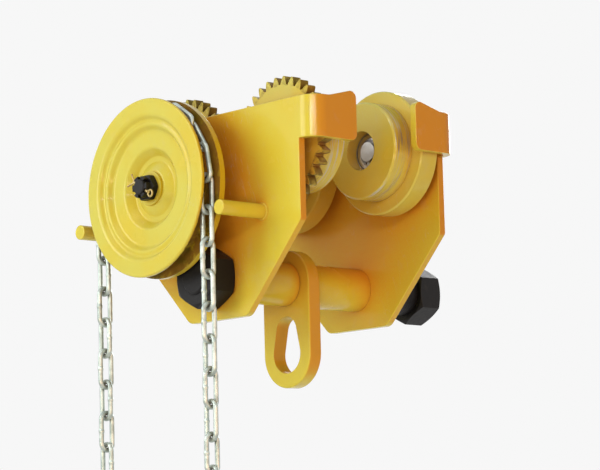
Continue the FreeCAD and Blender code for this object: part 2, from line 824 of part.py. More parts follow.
def castle_nut():
    """Slotted hexagon nut."""
    base = hub_front - hub_washer_thickness
    crown_base = base - castle_nut_height + castle_crown_height
    top = base - castle_nut_height
    body = chamfered_hexagon(castle_nut_flats, crown_base, base, drive_x, drive_height)
    crown = rod(castle_crown_radius, top, crown_base, drive_x, drive_height)
    nut = body.fuse(crown).removeSplitter()
    cuts = [rod(shaft_thread_radius + seat_clearance, top, base, drive_x, drive_height)]
    reach = castle_nut_flats
    for k in range(castle_slot_count // 2):
        slot = block(-reach, reach, top, crown_base, -castle_slot_width / 2, castle_slot_width / 2)
        slot.rotate(ORIGIN, AXIS_Y, 360 / castle_slot_count * k)
        slot.translate(V(drive_x, 0, drive_height))
        cuts.append(slot)
    return turned_with_nut(nut.cut(cuts))


def cotter_pin():
    """Split pin through the castle nut, with a ring head and two splayed legs."""
    y = cotter_axis()
    head_x = drive_x + castle_crown_radius + cotter_head_radius
    tail_x = drive_x - castle_crown_radius - cotter_radius
    neck_x = head_x - cotter_head_radius + cotter_radius / 2
    shank = Part.makeCylinder(cotter_radius, neck_x - tail_x, V(tail_x, y, drive_height), AXIS_X)
    wire = cotter_radius / 2
    head = Part.makeTorus(cotter_head_radius - wire, wire, V(head_x, y, drive_height), AXIS_Y)
    tail = V(tail_x, y, drive_height)
    spread = math.radians(cotter_leg_spread_deg)
    legs = [Part.makeCylinder(wire, cotter_leg_length, tail,
                              V(-math.cos(spread), -cotter_leg_lean, way * math.sin(spread)))
            for way in (-1, 1)]
    knuckle = Part.makeSphere(cotter_radius, tail)
    return turned_with_nut(shank.fuse([head, knuckle] + legs).removeSplitter())


# Hand chain
def chain_link():
    """One welded long link about the origin, long way along X, lying in the XZ plane."""
    bend = (chain_inner_width + chain_wire) / 2
    half = (chain_inner_length - chain_inner_width) / 2
    radius = chain_wire / 2
    section = Part.Face(Part.Wire(Part.makeCircle(radius, V(half, 0, bend), AXIS_X)))
    pieces = []
    for turn in (0, 180):
        bow = section.revolve(V(half, 0, 0), AXIS_Y, 180)
        bar = section.extrude(V(-2 * half, 0, 0))
        for piece in (bow, bar):
            piece.rotate(ORIGIN, AXIS_Y, turn)
            pieces.append(piece)
    return pieces[0].fuse(pieces[1:]).removeSplitter()


def chain_corners():
    """Corner points (x, z) of the closed loop, one between each two links."""
    step = 2 * math.pi / chain_sides
    half_turn = range(chain_sides // 2 + 1)
    over = [(drive_x + chain_radius * math.cos(k * step), drive_height + chain_radius * math.sin(k * step))
            for k in half_turn]
    low = drive_height - chain_fall_links * link_spacing
    left = [(over[-1][0], drive_height - k * link_spacing) for k in range(1, chain_fall_links)]
    under = [(drive_x - chain_radius * math.cos(k * step), low - chain_radius * math.sin(k * step))
             for k in half_turn]
    right = [(over[0][0], drive_height - k * link_spacing) for k in range(chain_fall_links - 1, 0, -1)]
    return over + left + under + right


def hand_chain():
    """Endless chain over the wheel: links alternate between the wheel's plane and across it."""
    link = chain_link()
    corners = chain_corners()
    links = []
    for k, (x0, z0) in enumerate(corners):
        x1, z1 = corners[(k + 1) % len(corners)]
        piece = link.copy()
        if k % 2:
            piece.rotate(ORIGIN, AXIS_X, 90)
        piece.rotate(ORIGIN, AXIS_Y, -math.degrees(math.atan2(z1 - z0, x1 - x0)))
        piece.translate(V((x0 + x1) / 2, chain_plane, (z0 + z1) / 2))
        links.append(piece)
    return links


# Chain guides
def guide_pin(x, seat):
    """Round guide pin on a spigot, rounded at its free end."""
    free = seat - guide_pin_length
    pin = rod(guide_pin_radius, free, seat, x, guide_pin_height)
    rim = [e for e in pin.Edges if abs(e.CenterOfMass.y - free) < MATCH and len(e.Vertexes) == 1]
    pin = pin.makeFillet(guide_pin_end_round, rim)
    spigot = rod(guide_pin_spigot_radius, seat, seat + blind_seat_depth, x, guide_pin_height)
    return pin.fuse(spigot).removeSplitter()


def guide_strap():
    """Flat strap on the plate's left end that reaches out to the outer guide pin."""
    pin_x = outer_pin_x
    far = strap_bolt_places()[-1][0] + strap_bolt_edge
    half = strap_height / 2
    seat = -plate_outer - strap_thickness
    bar = block(pin_x, far, -plate_outer, seat, guide_pin_height - half, guide_pin_height + half)
    nose = rod(half, -plate_outer, seat, pin_x, guide_pin_height)
    strap = bar.fuse(nose).removeSplitter()
    hole_radius = guide_pin_spigot_radius + seat_clearance
    hole = rod(hole_radius, seat, seat + blind_seat_depth, pin_x, guide_pin_height)
    return strap.cut([hole] + bolt_holes(strap_bolt_places(), -plate_outer, seat))


# Suspension
def suspension_ends():
    """Y positions of the suspension shaft's front and rear ends."""
    front = -plate_outer - suspension_nut_height - suspension_end_length
    rear = plate_outer + spare_ring_count * spare_ring_width + suspension_nut_height + suspension_end_length
    return front, rear


def suspension_shaft():
    """Round shaft through both plates, the spacers and the load eye."""
    front, rear = suspension_ends()
    c = suspension_end_chamfer
    r = suspension_radius
    profile = [(0, front), (r - c, front), (r, front + c), (r, rear - c), (r - c, rear), (0, rear)]
    return turned(profile, 0, -shaft_drop)


def suspension_nut(start, outward):
    """Large hexagon nut on the suspension shaft."""
    end = start + outward * suspension_nut_height
    nut = chamfered_hexagon(suspension_nut_flats, start, end, 0, -shaft_drop)
    return nut.cut(rod(suspension_radius + seat_clearance, start, end, 0, -shaft_drop))


def spacer(start, end):
    """Spacer tube or ring on the suspension shaft."""
    return ring(spacer_radius, suspension_radius + seat_clearance, start, end, 0, -shaft_drop)


def load_eye():
    """Plate that hangs on the shaft, with a pear-shaped hole for a hoist's hook."""
    half = eye_thickness / 2
    low = -shaft_drop - eye_length
    bar = block(-eye_radius, eye_radius, -half, half, low, -shaft_drop)
    ends = [rod(eye_radius, -half, half, 0, z) for z in (-shaft_drop, low)]
    body = bar.fuse(ends).removeSplitter()
    rims = [e for e in body.Edges if abs(abs(e.CenterOfMass.y) - half) < MATCH]
    body = body.makeFillet(eye_edge_round, rims)
    top = low + eye_hole_span
    lean = (eye_hole_radius - eye_hole_top_radius) / eye_hole_span
    side = math.sqrt(1 - lean ** 2)
    sides = [(eye_hole_radius * side, low + eye_hole_radius * lean),
             (eye_hole_top_radius * side, top + eye_hole_top_radius * lean)]
    pear = prism(sides + [(-x, z) for x, z in reversed(sides)], -half, half)
    rounds = [rod(eye_hole_radius, -half, half, 0, low), rod(eye_hole_top_radius, -half, half, 0, top)]
    hole = pear.fuse(rounds)
    return body.cut([hole, rod(suspension_radius + running_clearance, -half, half, 0, -shaft_drop)])


# Gear phases, all worked out from the right-hand wheel
right_phase = math.radians(wheel_gear_phase_deg)
to_pinion = direction_between(wheel_half_base, axle_height, 0, intermediate_height)
pinion_phase = mating_phase(right_phase, wheel_gear_teeth, to_pinion, wheel_pinion_teeth)
to_left = direction_between(0, intermediate_height, -wheel_half_base, axle_height)
left_phase = mating_phase(pinion_phase, wheel_pinion_teeth, to_left, wheel_gear_teeth)
to_drive = direction_between(0, intermediate_height, drive_x, drive_height)
drive_phase = mating_phase(pinion_phase, drive_gear_teeth, to_drive, drive_pinion_teeth)

# Frame
save("front_side_plate", side_plate(FRONT))
save("rear_side_plate", side_plate(REAR))
save("suspension_shaft", suspension_shaft())
save("front_shaft_nut", suspension_nut(-plate_outer, FRONT))
ring_starts = [plate_outer + k * spare_ring_width for k in range(spare_ring_count)]
save("spare_spacer_rings", [spacer(y, y + spare_ring_width) for y in ring_starts])
save("rear_shaft_nut", suspension_nut(plate_outer + spare_ring_count * spare_ring_width, REAR))
eye_half = eye_thickness / 2 + side_play
save("front_spacer_tube", spacer(-plate_inner, -eye_half))
save("rear_spacer_tube", spacer(eye_half, plate_inner))
save("load_eye", load_eye())

# Wheels with their axles and bearings
for corner, (side, end) in CORNERS.items():
    x = end * wheel_half_base
    save(corner + "_axle", wheel_axle(side, x, axle_height))
    save(corner + "_inner_races", inner_races(side, x, axle_height))
    save(corner + "_bearing_balls", bearing_balls(side, x, axle_height))
    save(corner + "_outer_races", outer_races(side, x, axle_height))
    clip_start = side * bearing_back
    clip_end = side * (bearing_back - circlip_thickness)
    save(corner + "_axle_circlip", circlip(bearing_bore_radius, clip_start, clip_end, x, axle_height))
save("left_drive_wheel", drive_wheel(LEFT, left_phase))
save("right_drive_wheel", drive_wheel(RIGHT, right_phase))
save("left_idle_wheel", idle_wheel(LEFT))
save("right_idle_wheel", idle_wheel(RIGHT))

# Gear train
save("intermediate_pinion", intermediate_pinion(pinion_phase))
save("intermediate_gear", intermediate_gear(pinion_phase))
bush_outer = intermediate_axle_radius + intermediate_bush_wall - seat_clearance
save("intermediate_bush", ring(bush_outer, intermediate_axle_radius + running_clearance,
                               -drive_gear_face, -gear_back, 0, intermediate_height))
save("intermediate_axle", intermediate_axle())
clip_at = -gear_back + side_play
save("intermediate_circlip", circlip(intermediate_axle_radius, clip_at, clip_at + circlip_thickness,
                                     0, intermediate_height))

# Drive shaft and chain wheel
save("drive_housing", drive_housing())
bolt_end = -plate_inner - bolt_end_inset
housing_face = -plate_outer - housing_flange_thickness
save("drive_housing_bolts", [bolt(x, z, housing_face, bolt_end) for x, z in housing_bolt_places()])
drive_bush_outer = shaft_bush_radius + running_clearance + drive_bush_wall
save("drive_bush", ring(drive_bush_outer, shaft_bush_radius + running_clearance, housing_end, -plate_inner,
                        drive_x, drive_height))
save("drive_shaft", drive_shaft())
save("drive_pinion", drive_pinion(drive_phase))
for name, shape in key_blocks().items():
    save(name, shape)
clip_at = -drive_gear_back
save("drive_pinion_circlip", circlip(shaft_pinion_radius, clip_at, clip_at + circlip_thickness,
                                     drive_x, drive_height))
save("thrust_washer", ring(thrust_washer_radius, shaft_bush_radius + seat_clearance, hub_back,
                           hub_back + thrust_washer_thickness, drive_x, drive_height))
save("chain_wheel", chain_wheel())
save("hub_washer", ring(hub_washer_radius, shaft_thread_radius + seat_clearance,
                        hub_front - hub_washer_thickness, hub_front, drive_x, drive_height))
save("castle_nut", castle_nut())
save("cotter_pin", cotter_pin())

# Hand chain and its guides
save("hand_chain", hand_chain())
save("right_guide_pin", guide_pin(inner_pin_x, -plate_outer))
save("left_guide_pin", guide_pin(outer_pin_x, -plate_outer - strap_thickness))
save("guide_strap", guide_strap())
strap_face = -plate_outer - strap_thickness
save("guide_strap_bolts", [bolt(x, z, strap_face, bolt_end) for x, z in strap_bolt_places()])
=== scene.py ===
"""Finishes, small details, light and camera for the geared trolley.

All sizes are in metres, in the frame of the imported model: X along the way of travel, Y across it from
the geared side to the idle side, and Z up, with the origin on the plane that the treads roll on.
"""
from __future__ import annotations

import logging
import math
from dataclasses import dataclass
from enum import Enum
from typing import Any, Callable, Sequence, Union

import bpy
from mathutils import Matrix, Vector

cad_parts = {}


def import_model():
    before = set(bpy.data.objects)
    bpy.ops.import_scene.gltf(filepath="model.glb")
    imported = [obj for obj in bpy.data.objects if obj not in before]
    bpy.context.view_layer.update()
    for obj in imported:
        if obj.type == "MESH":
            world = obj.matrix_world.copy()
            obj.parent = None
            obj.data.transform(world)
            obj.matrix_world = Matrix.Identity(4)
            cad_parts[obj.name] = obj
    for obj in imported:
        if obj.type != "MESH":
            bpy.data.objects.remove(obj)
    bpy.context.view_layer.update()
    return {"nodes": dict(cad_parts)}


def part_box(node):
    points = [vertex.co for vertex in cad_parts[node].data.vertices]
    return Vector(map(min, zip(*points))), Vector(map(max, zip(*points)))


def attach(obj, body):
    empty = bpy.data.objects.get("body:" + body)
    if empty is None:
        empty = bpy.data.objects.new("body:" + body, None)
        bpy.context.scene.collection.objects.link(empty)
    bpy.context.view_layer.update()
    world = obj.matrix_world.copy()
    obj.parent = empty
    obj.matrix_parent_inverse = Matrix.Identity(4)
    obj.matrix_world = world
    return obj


LOG = logging.getLogger("trolley")
MM = 0.001
QUARTER_TURN = math.pi / 2
FULL_TURN = 2 * math.pi
MERGE_DISTANCE = 0.001 * MM
NOISE_MIDDLE = 0.5
IMAGE_WIDTH_PX = 600
SENSOR_WIDTH_MM = 36.0
# Point that the camera and the lamps face
AIM = (4.03 * MM, 10.67 * MM, -30.02 * MM)

Colour = tuple[float, float, float, float]
Limits = tuple[float, float]
Axis = tuple[float, float]
Term = Union["Reading", float, int, Colour]


class Slot(Enum):
    """Names of the record's material slots."""

    PAINT = "yellow_paint"
    ZINC = "zinc_plate"
    STEEL = "machined_steel"


class Source(Enum):
    """What a pattern is read from, by the name of the node's output."""

    PLACE = "Object"
    DIRECTION = "Normal"


class Corner(Enum):
    """The four wheel places, each with the body that its wheel turns with."""

    FRONT_LEFT = ("front_left", "left_drive_wheel")
    FRONT_RIGHT = ("front_right", "right_drive_wheel")
    REAR_LEFT = ("rear_left", "left_idle_wheel")
    REAR_RIGHT = ("rear_right", "right_idle_wheel")

    @property
    def prefix(self) -> str:
        """Start of the names of the axle and bearing nodes at this corner."""
        return self.value[0]

    @property
    def wheel(self) -> str:
        """Name of the wheel's node, which is also the name of its body."""
        return self.value[1]

    @property
    def idle(self) -> bool:
        """Whether the wheel has a plain flange and no gear teeth."""
        return "idle" in self.wheel


def rgb(red: float, green: float, blue: float) -> Colour:
    """Opaque linear colour."""
    return (red, green, blue, 1.0)


# Shader maths


class Reading:
    """A shader socket that can be used in Python arithmetic."""

    def __init__(self, graph: "Graph", socket: bpy.types.NodeSocket) -> None:
        """Keeps the socket and the graph that it belongs to."""
        self.graph = graph
        self.socket = socket

    def _math(self, operation: str, first: Term, second: Term) -> "Reading":
        """Adds one Math node."""
        return self.graph.node("ShaderNodeMath", {"operation": operation}, {0: first, 1: second})

    def __add__(self, other: Term) -> "Reading":
        """Sum."""
        return self._math("ADD", self, other)

    def __radd__(self, other: Term) -> "Reading":
        """Sum with a number on the left."""
        return self._math("ADD", other, self)

    def __sub__(self, other: Term) -> "Reading":
        """Difference."""
        return self._math("SUBTRACT", self, other)

    def __rsub__(self, other: Term) -> "Reading":
        """Difference from a number on the left."""
        return self._math("SUBTRACT", other, self)

    def __mul__(self, other: Term) -> "Reading":
        """Product."""
        return self._math("MULTIPLY", self, other)

    def __rmul__(self, other: Term) -> "Reading":
        """Product with a number on the left."""
        return self._math("MULTIPLY", other, self)

    def __pow__(self, other: Term) -> "Reading":
        """Power."""
        return self._math("POWER", self, other)

    def __abs__(self) -> "Reading":
        """Size without its sign."""
        return self._math("ABSOLUTE", self, 0.0)

    def most(self, other: Term) -> "Reading":
        """Larger of two values."""
        return self._math("MAXIMUM", self, other)

    def ramp(self, low: float, high: float) -> "Reading":
        """Smooth step from 0 at low to 1 at high, or the other way round if low is above high.

        Args:
            low: Value that gives 0.
            high: Value that gives 1.

        Returns:
            The stepped value, kept between 0 and 1.
        """
        settings = {"interpolation_type": "SMOOTHSTEP"}
        return self.graph.node("ShaderNodeMapRange", settings, {0: self, 1: low, 2: high})


class Graph:
    """Builds the node tree of one material or of the world."""

    NEAR_SAMPLES = 6
    # Places of the Mix node's colour sockets, which share their names with those for values
    MIX_BELOW, MIX_ABOVE, MIX_RESULT = 6, 7, 2

    def __init__(self, owner: Union[bpy.types.Material, bpy.types.World]) -> None:
        """Empties the owner's node tree.

        Args:
            owner: Material or world whose nodes are built.
        """
        owner.use_nodes = True
        self.tree = owner.node_tree
        self.tree.nodes.clear()
        world = isinstance(owner, bpy.types.World)
        self.output_kind = "ShaderNodeOutputWorld" if world else "ShaderNodeOutputMaterial"

    def node(self, kind: str, settings: dict[str, Any] | None = None,
             inputs: dict[Union[int, str], Term] | None = None, output: Union[int, str] = 0) -> Reading:
        """Adds a node.

        Args:
            kind: Blender's name of the node type.
            settings: Attributes of the node, which are set before its sockets.
            inputs: Values or links, by socket name or index.
            output: Socket of the node that is read.

        Returns:
            The chosen output.
        """
        made = self.tree.nodes.new(kind)
        for key, value in (settings or {}).items():
            setattr(made, key, value)
        for key, value in (inputs or {}).items():
            if isinstance(value, Reading):
                self.tree.links.new(value.socket, made.inputs[key])
            else:
                made.inputs[key].default_value = value
        return Reading(self, made.outputs[output])

    def read(self, source: Source) -> Reading:
        """Position in the frame or surface direction, as a vector."""
        return self.node("ShaderNodeTexCoord", output=source.value)

    def axes(self, source: Source = Source.PLACE) -> tuple[Reading, Reading, Reading]:
        """Position in the frame or surface direction, as three values."""
        split = self.node("ShaderNodeSeparateXYZ", inputs={0: self.read(source)}).socket.node
        return tuple(Reading(self, socket) for socket in split.outputs)

    def about(self, axis: Axis) -> tuple[Reading, Reading]:
        """Distance from an axis along Y, and the place along it."""
        x, y, z = self.axes()
        return ((x - axis[0]) ** 2 + (z - axis[1]) ** 2) ** 0.5, y

    def vector(self, x: Term, y: Term, z: Term) -> Reading:
        """Vector from three values."""
        return self.node("ShaderNodeCombineXYZ", inputs={0: x, 1: y, 2: z})

    def noise(self, scale: float = 1.0, detail: float = 2.0, where: Reading | None = None) -> Reading:
        """Cloudy noise.

        Args:
            scale: Waves per metre, or 1 for a vector that is scaled already.
            detail: Number of finer layers.
            where: Vector that it is read at, the position in the frame if left out.

        Returns:
            Value from 0 to 1, mostly near the middle.
        """
        inputs = {"Vector": where or self.read(Source.PLACE), "Scale": scale, "Detail": detail}
        return self.node("ShaderNodeTexNoise", inputs=inputs)

    def cells(self, scale: float) -> Reading:
        """Distance from the nearest of a set of scattered points, in cell sizes."""
        inputs = {"Vector": self.read(Source.PLACE), "Scale": scale}
        return self.node("ShaderNodeTexVoronoi", inputs=inputs)

    def mix(self, mask: Term, below: Term, above: Term) -> Reading:
        """Colour that goes from one to another with a mask.

        Args:
            mask: 0 for the first colour, 1 for the second.
            below: First colour.
            above: Second colour.

        Returns:
            The mixed colour.
        """
        inputs = {0: mask, self.MIX_BELOW: below, self.MIX_ABOVE: above}
        return self.node("ShaderNodeMix", {"data_type": "RGBA"}, inputs, output=self.MIX_RESULT)

    def hollows(self, reach: float) -> Reading:
        """How closed in a point is, 0 in the open and 1 in a deep corner."""
        settings = {"samples": self.NEAR_SAMPLES}
        return 1 - self.node("ShaderNodeAmbientOcclusion", settings, {"Distance": reach}, output="AO")

    def soft_normal(self, radius: float) -> Reading:
        """Surface direction with edges rounded by a radius."""
        return self.node("ShaderNodeBevel", {"samples": self.NEAR_SAMPLES}, {"Radius": radius})

    def edges(self, radius: float) -> Reading:
        """How near a sharp edge a point is.

        Args:
            radius: Distance from the edge at which the value starts to rise.

        Returns:
            0 on a flat, and towards 1 on the edge.
        """
        straight = self.node("ShaderNodeNewGeometry", output="Normal")
        pair = {0: self.soft_normal(radius), 1: straight}
        return 1 - self.node("ShaderNodeVectorMath", {"operation": "DOT_PRODUCT"}, pair, output="Value")

    def bump(self, height: Reading, base: Reading, depth: float = 1.0) -> Reading:
        """Surface direction disturbed by a height.

        Args:
            height: Height, in units of the depth.
            base: Surface direction to start from.
            depth: Depth in metres that a height of 1 stands for.

        Returns:
            The disturbed direction.
        """
        return self.node("ShaderNodeBump", inputs={"Distance": depth, "Height": height, "Normal": base})

    def seen(self) -> Reading:
        """Finds the rays that the camera sees by, straight or by way of metal or glass.

        Returns:
            1 for such a ray, and 0 for those that only carry light.
        """
        straight = self.node("ShaderNodeLightPath", output="Is Camera Ray")
        others = straight.socket.node.outputs
        mirrored = Reading(self, others["Is Glossy Ray"])
        return straight.most(mirrored).most(Reading(self, others["Is Transmission Ray"]))

    def end(self, shader: Reading) -> None:
        """Links a surface or background shader to the output of its tree."""
        made = self.tree.nodes.new(self.output_kind)
        self.tree.links.new(shader.socket, made.inputs["Surface"])


# Finishes

GRIME = rgb(0.060, 0.030, 0.010)
GREASE = rgb(0.034, 0.016, 0.007)
RUSTY_GREASE = rgb(0.150, 0.048, 0.016)
PRIMER = rgb(0.30, 0.20, 0.10)
BARE_STEEL = rgb(0.46, 0.45, 0.43)
DUST = rgb(0.52, 0.48, 0.42)
SPRING_STEEL = rgb(0.16, 0.16, 0.17)
PRESSED_STEEL = rgb(0.62, 0.61, 0.58)
GEAR_STEEL = rgb(0.30, 0.29, 0.28)
BRONZE = rgb(0.62, 0.38, 0.15)
BRONZE_STAIN = rgb(0.34, 0.19, 0.07)


@dataclass(frozen=True)
class Grain:
    """Cloudy noise of one fineness."""

    scale: float
    detail: float

    def read(self, graph: Graph) -> Reading:
        """Value from 0 to 1, mostly near the middle."""
        return graph.noise(self.scale, self.detail)


@dataclass(frozen=True)
class Patches(Grain):
    """Patches where a noise is high, with the values over which they set in."""

    limits: Limits

    def mask(self, graph: Graph) -> Reading:
        """How far a point lies in a patch, from 0 to 1."""
        return self.read(graph).ramp(*self.limits)


@dataclass(frozen=True)
class CornerDirt:
    """Dirt that gathers in corners, more of it where a cloudy noise is high."""

    reach: float
    least: float
    limits: Limits

    def mask(self, graph: Graph, clouds: Reading) -> Reading:
        """How dirty a point is, from 0 to 1."""
        return (graph.hollows(self.reach) * (self.least + clouds)).ramp(*self.limits)


@dataclass(frozen=True)
class Band:
    """Ring-shaped stretch of a turned piece where the paint is rubbed or greasy."""

    axis: Axis
    radii: Limits
    stretch: Limits
    fade: float = 1.2 * MM
    wobble: Grain = Grain(190.0, 3.0)

    def mask(self, graph: Graph) -> Reading:
        """How far a point lies in the band.

        Args:
            graph: Node tree that the mask is built in.

        Returns:
            1 in the band, 0 outside it.
        """
        away, along = graph.about(self.axis)
        shift = (self.wobble.read(graph) - NOISE_MIDDLE) * (2 * self.fade)
        return self._inside(away + shift, self.radii) * self._inside(along + shift, self.stretch)

    def _inside(self, value: Reading, limits: Limits) -> Reading:
        """Soft mask of a value between two limits."""
        low, high = limits
        return value.ramp(low - self.fade, low) * value.ramp(high + self.fade, high)


@dataclass(frozen=True)
class Finish:
    """Surface of one or more pieces, as a material with its own node tree."""

    name: str

    def build(self) -> bpy.types.Material:
        """Makes the material.

        Returns:
            The material, with a surface shader that has this finish's values.
        """
        material = bpy.data.materials.new(self.name)
        graph = Graph(material)
        graph.end(graph.node("ShaderNodeBsdfPrincipled", inputs=self.sockets(graph)))
        return material

    def sockets(self, graph: Graph) -> dict[str, Term]:
        """Values of the surface shader's sockets, by name, which each kind of finish gives."""
        raise NotImplementedError


@dataclass(frozen=True)
class EnamelRoughness:
    """Roughness of clean enamel, and what each kind of mark adds to it."""

    clean: float = 0.20
    clouds: float = 0.12
    dirt: float = 0.30
    chips: float = 0.25
    scuffs: float = 0.12
    grease: float = 0.15
    bare: float = 0.10


@dataclass(frozen=True)
class PaintMarks:
    """Masks of what age and use have done to a painted surface, and of the shade painted into it."""

    clouds: Reading
    # Painted shade, in hollows and on faces turned along +X
    painted_shade: Reading
    dirt: Reading
    scuffs: Reading
    chips: Reading


@dataclass(frozen=True)
class Enamel(Finish):
    """Glossy yellow enamel over steel or cast iron, with shade painted into its colour in hollows and
    on faces turned along +X. A mark's "most" is its greatest strength.
    """

    colour: Colour = rgb(0.65, 0.605, 0.065)
    thin: Colour = rgb(0.66, 0.555, 0.035)
    # Orange colour of the painted shade, laid on where the piece is closed in within the reach and on
    # faces turned along +X
    painted_shade_colour: Colour = rgb(0.66, 0.235, 0.016)
    painted_shade_reach: float = 200.0 * MM
    painted_shade_limits: Limits = (0.16, 0.70)
    # Greatest strength of the painted shade in hollows
    painted_shade: float = 0.9
    # Strength of painted shade on faces turned along +X
    painted_side_shade: float = 0.0
    casting: float = 0.12 * MM
    grime: float = 0.55
    wear: float = 0.5
    rubbed: tuple[Band, ...] = ()
    greasy: tuple[Band, ...] = ()
    grease: float = 0.85
    gloss: float = 0.60
    clouds: Grain = Grain(16.0, 4.0)
    thin_limits: Limits = (0.38, 0.74)
    thin_most: float = 0.8
    painted_side_shade_limits: Limits = (0.55, 0.95)
    dusty: Patches = Patches(55.0, 5.0, (0.56, 0.78))
    dust_most: float = 0.08
    corner_dirt: CornerDirt = CornerDirt(8.0 * MM, 0.55, (0.30, 1.0))
    pit_scale: float = 210.0
    pit_limits: Limits = (0.10, 0.05)
    pitted: Patches = Patches(900.0, 2.0, (0.52, 0.64))
    pit_most: float = 0.4
    scuff_scales: tuple[float, float, float] = (90.0, 30.0, 14.0)
    scuff_width: float = 0.006
    scuffed: Patches = Patches(24.0, 2.0, (0.52, 0.64))
    scuff_most: float = 0.2
    chip_radius: float = 1.1 * MM
    chip_edge_share: float = 2.2
    chip_grain: Grain = Grain(260.0, 4.0)
    chip_limits: Limits = (1.34, 1.48)
    chip_wear: float = 0.3
    chip_depth: float = 0.06 * MM
    smeared: Patches = Patches(95.0, 3.0, (0.16, 0.50))
    rusty: Patches = Patches(38.0, 4.0, (0.40, 0.58))
    rolled_scales: tuple[float, float] = (25.0, 420.0)
    rolled_limits: Limits = (0.48, 0.66)
    bare_most: float = 0.7
    bare_metal: float = 0.9
    peel: float = 0.035 * MM
    peel_grain: Grain = Grain(620.0, 2.0)
    casting_grain: Grain = Grain(75.0, 3.0)
    edge_radius: float = 0.8 * MM
    roughness: EnamelRoughness = EnamelRoughness()
    # Gloss taken off where shade is painted
    painted_shade_dulling: float = 0.60
    grease_dulling: float = 0.45
    specular: float = 0.12
    coat_ior: float = 1.36
    coat_rough: float = 0.08

    def sockets(self, graph: Graph) -> dict[str, Term]:
        """Enamel with orange peel, thin spots, grime in corners and rubbed edges.

        Args:
            graph: Node tree of the material.

        Returns:
            Values of the surface shader's sockets.
        """
        marks = self._marks(graph)
        colour = self._colour(graph, marks)
        adds = self.roughness
        rough = adds.clean + marks.clouds * adds.clouds + marks.dirt * adds.dirt
        rough = rough + marks.chips * adds.chips + marks.scuffs * adds.scuffs
        # Less gloss where shade is painted
        coat = self.gloss - marks.painted_shade * self.painted_shade_dulling
        sockets: dict[str, Term] = {}
        if self.greasy:
            grease = self._total(graph, self.greasy) * self.smeared.mask(graph)
            film = graph.mix(self.rusty.mask(graph), GREASE, RUSTY_GREASE)
            colour = graph.mix(grease * self.grease, colour, film)
            rough = rough + grease * adds.grease
            coat = coat - grease * self.grease_dulling
        if self.rubbed:
            bare = self._total(graph, self.rubbed) * self._rolled(graph) * self.bare_most
            colour = graph.mix(bare, colour, BARE_STEEL)
            rough = rough + bare * adds.bare
            sockets["Metallic"] = bare * self.bare_metal
        return sockets | {
            "Base Color": colour,
            "Roughness": rough,
            "Specular IOR Level": self.specular,
            "Coat Weight": coat.most(0.0),
            "Coat IOR": self.coat_ior,
            "Coat Roughness": self.coat_rough,
            "Normal": self._relief(graph, marks.chips),
        }

    def _marks(self, graph: Graph) -> PaintMarks:
        """Finds where shade is painted in, in hollows and on faces turned along +X, and where the paint
        is dirty, scuffed or chipped.

        Args:
            graph: Node tree of the material.

        Returns:
            The masks.
        """
        clouds = self.clouds.read(graph)
        # Painted shade: the more closed in a point is within the reach, the more orange its colour
        painted_shade = graph.hollows(self.painted_shade_reach).ramp(*self.painted_shade_limits) * self.painted_shade
        # Painted shade on faces turned along +X, on top of that in hollows
        if self.painted_side_shade:
            along_travel, _, _ = graph.axes(Source.DIRECTION)
            painted_shade = painted_shade.most(along_travel.ramp(*self.painted_side_shade_limits) * self.painted_side_shade)
        dirt = self.corner_dirt.mask(graph, clouds) * self.grime
        edge = graph.edges(self.chip_radius) * self.chip_edge_share + self.chip_grain.read(graph)
        low, high = self.chip_limits
        chips = edge.ramp(low - self.chip_wear * self.wear, high)
        return PaintMarks(clouds, painted_shade, dirt, self._scuffs(graph), chips)

    def _colour(self, graph: Graph, marks: PaintMarks) -> Reading:
        """Lays the colours of the marks and of the painted shade over the paint, one after another.

        Args:
            graph: Node tree of the material.
            marks: Masks of the marks.

        Returns:
            Colour of the aged paint with its painted shade, before grease and rubbing.
        """
        pits = graph.cells(self.pit_scale).ramp(*self.pit_limits) * self.pitted.mask(graph)
        layers = (
            (marks.clouds.ramp(*self.thin_limits) * self.thin_most, self.thin),
            # Painted shade
            (marks.painted_shade, self.painted_shade_colour),
            (self.dusty.mask(graph) * self.dust_most, DUST),
            (marks.dirt, GRIME),
            (pits * self.pit_most, GRIME),
            (marks.scuffs * self.scuff_most, DUST),
            (marks.chips, PRIMER),
        )
        colour = self.colour
        for mask, above in layers:
            colour = graph.mix(mask, colour, above)
        return colour

    def _relief(self, graph: Graph, chips: Reading) -> Reading:
        """Roughens the surface by orange peel, the unevenness of the casting and the chips.

        Args:
            graph: Node tree of the material.
            chips: Mask of the chips.

        Returns:
            The surface direction.
        """
        peel = self.peel_grain.read(graph) * self.peel
        height = peel + self.casting_grain.read(graph) * self.casting
        return graph.bump(height - chips * self.chip_depth, graph.soft_normal(self.edge_radius))

    @staticmethod
    def _total(graph: Graph, bands: Sequence[Band]) -> Reading:
        """Joins the masks of one or more bands.

        Args:
            graph: Node tree of the material.
            bands: The bands.

        Returns:
            1 in any of them, 0 outside.
        """
        total = bands[0].mask(graph)
        for band in bands[1:]:
            total = total.most(band.mask(graph))
        return total

    def _rolled(self, graph: Graph) -> Reading:
        """Finds the rings and patches that rolling leaves on a tread.

        Args:
            graph: Node tree of the material.

        Returns:
            1 in the rings, 0 between them.
        """
        x, y, z = graph.axes()
        around, across = self.rolled_scales
        rings = graph.noise(where=graph.vector(x * around, y * across, z * around))
        return rings.ramp(*self.rolled_limits)

    def _scuffs(self, graph: Graph) -> Reading:
        """Finds thin pale handling marks, long in one direction.

        Args:
            graph: Node tree of the material.

        Returns:
            1 on the marks, 0 beside them.
        """
        x, y, z = graph.axes()
        across, slant, along = self.scuff_scales
        stretched = graph.vector(x * across + z * slant, y * across, z * along)
        line = abs(graph.noise(where=stretched) - NOISE_MIDDLE).ramp(self.scuff_width, 0.0)
        return line * self.scuffed.mask(graph)


